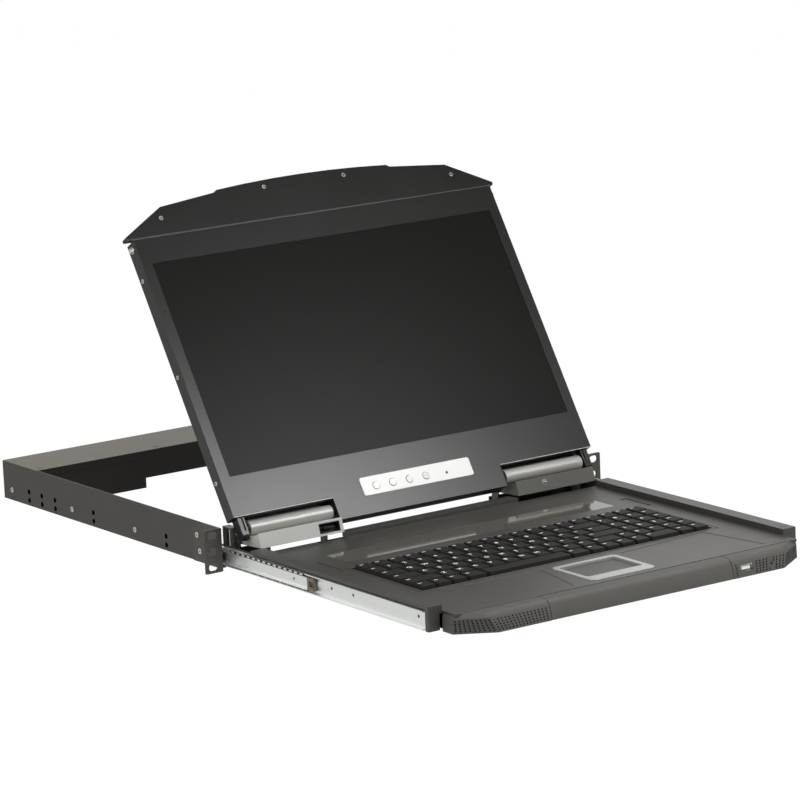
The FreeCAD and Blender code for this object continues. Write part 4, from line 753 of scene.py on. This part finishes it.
# %% Lay the retainer strips
RETAINER_X = 219.9
STRIP_Y = -78.0
FIRST_WINDOW_Y = -18.0
WINDOW_PITCH = 9.2
WINDOW_COUNT = 14
for side, name in ((-1, "left"), (1, "right")):
    out = (side, 0, 0)
    cage = "front_cage_" + name
    window_ys = [FIRST_WINDOW_Y - WINDOW_PITCH * i for i in range(WINDOW_COUNT)]
    strip = [((side * RETAINER_X, STRIP_Y, 0.0), out)]
    windows = [((side * (RETAINER_X + 0.12), y, 0.0), out) for y in window_ys]
    # Painted shade: the strip takes the dark front shade coat.
    repeat("retainer_strip_" + name, "bar", strip, cage, FINISHES["front_shade_coat"], 130.0, 2.6, 0.2)
    repeat("retainer_windows_" + name, "bar", windows, cage, FINISHES["zinc_bright"], 5.0, 1.5, 0.1)
print("retainer windows:", 2 * WINDOW_COUNT)

# %% [markdown]
# ## Bare edges and painted edge highlights
# The lip plate's lower edge lies bare in the groove above the bezel, and a thin strip there is
# partly bare metal and partly a painted highlight.  The bezel's cut edges above the two hinge
# barrels get light silver strips as painted highlights.

# %% Draw the bare edges and the painted highlights
GROOVE_FLOOR = 6.55
BEZEL_FACE = 8.15
# Partly painted highlight: a bare-metal strip along the lip's lower edge.
edge = [(on_display(0.0, 311.9, GROOVE_FLOOR), FACE)]
repeat("lip_edge", "bar", edge, "display", FINISHES["zinc_and_edge_highlight"], 437.0, 0.9, 0.1)
# Painted highlight: light silver strips on the bezel's cut edges above the barrels.
notch_edges = [(on_display(side * 159.5, 11.4, BEZEL_FACE), FACE) for side in (-1, 1)]
repeat("notch_edges", "bar", notch_edges, "display", FINISHES["link_silver"], 114.0, 0.6, 0.1)
print("edge strips:", len(edge) + len(notch_edges))

# %% [markdown]
# ## Key legends
# Letter and figure keys carry one plain character each, in the built-in typeface, and the other
# keys a short dash.  Both are thin prints on the sloping caps, near the left rear corner.

# %% Print the legends
KEY_PITCH = 18.05
ROW_PITCH = 19.3
KEYS_REAR = -153.5
KEYS_LEFT = -171.475
INK = 3.05
LETTER = 6.5
LETTER_FOOT = (4.2, -8.6)
DASH_MIDDLE = (6.4, -5.6)
LEGENDS = {
    "keys_function_row": ([1] * 19, "-" * 19),
    "keys_number_row": ([1] * 13 + [2] + [1] * 4, "-1234567890---789-"),
    "keys_upper_row": ([1.5] + [1] * 12 + [1.5] + [1] * 4, "-QWERTYUIOP---456-"),
    "keys_home_row": ([1.75] + [1] * 11 + [2.25] + [1] * 4, "-ASDFGHJKL---123-"),
    "keys_lower_row": ([2.25] + [1] * 10 + [1.75] + [1] * 5, "-ZXCVBNM-----0---"),
    "keys_space_row": ([1, 1, 1, 1.25, 5.5, 1.25, 1, 1, 1, 1, 2, 1, 1], "---- --------"),
}
glyphs = {}


def glyph(character):
    """Vertices and faces of one character, 1 unit high, made once."""
    if character not in glyphs:
        curve = bpy.data.curves.new("glyph", "FONT")
        curve.body = character
        curve.resolution_u = 2
        curve.offset = 0.03
        holder = bpy.data.objects.new("glyph", curve)
        mesh = bpy.data.meshes.new_from_object(holder)
        glyphs[character] = ([vertex.co.copy() for vertex in mesh.vertices],
                             [tuple(polygon.vertices) for polygon in mesh.polygons])
        bpy.data.objects.remove(holder)
        bpy.data.meshes.remove(mesh)
    return glyphs[character]


for row, (name, (widths, text)) in enumerate(LEGENDS.items()):
    verts = []
    faces = []
    dashes = []
    x = KEYS_LEFT
    y = KEYS_REAR - row * ROW_PITCH
    for units, character in zip(widths, text):
        if character == "-":
            dashes.append(((x + DASH_MIDDLE[0], y + DASH_MIDDLE[1], INK), (0, 0, 1)))
        elif character != " ":
            points, polygons = glyph(character)
            start = len(verts)
            foot = Vector((x + LETTER_FOOT[0], y + LETTER_FOOT[1], INK))
            verts += [(foot + point * LETTER) * MM for point in points]
            faces += [tuple(start + index for index in polygon) for polygon in polygons]
        x += units * KEY_PITCH
    body = body_of[name]
    if faces:
        mesh = bpy.data.meshes.new(name + "_letters")
        mesh.from_pydata(verts, [], faces)
        mesh.materials.append(FINISHES["legend_ink"])
        letters = bpy.data.objects.new(name + "_letters", mesh)
        bpy.context.scene.collection.objects.link(letters)
        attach(letters, body)
    repeat(name + "_dashes", "bar", dashes, body, FINISHES["legend_ink"], 4.2, 1.2, 0.05)
print("characters used:", len(glyphs))
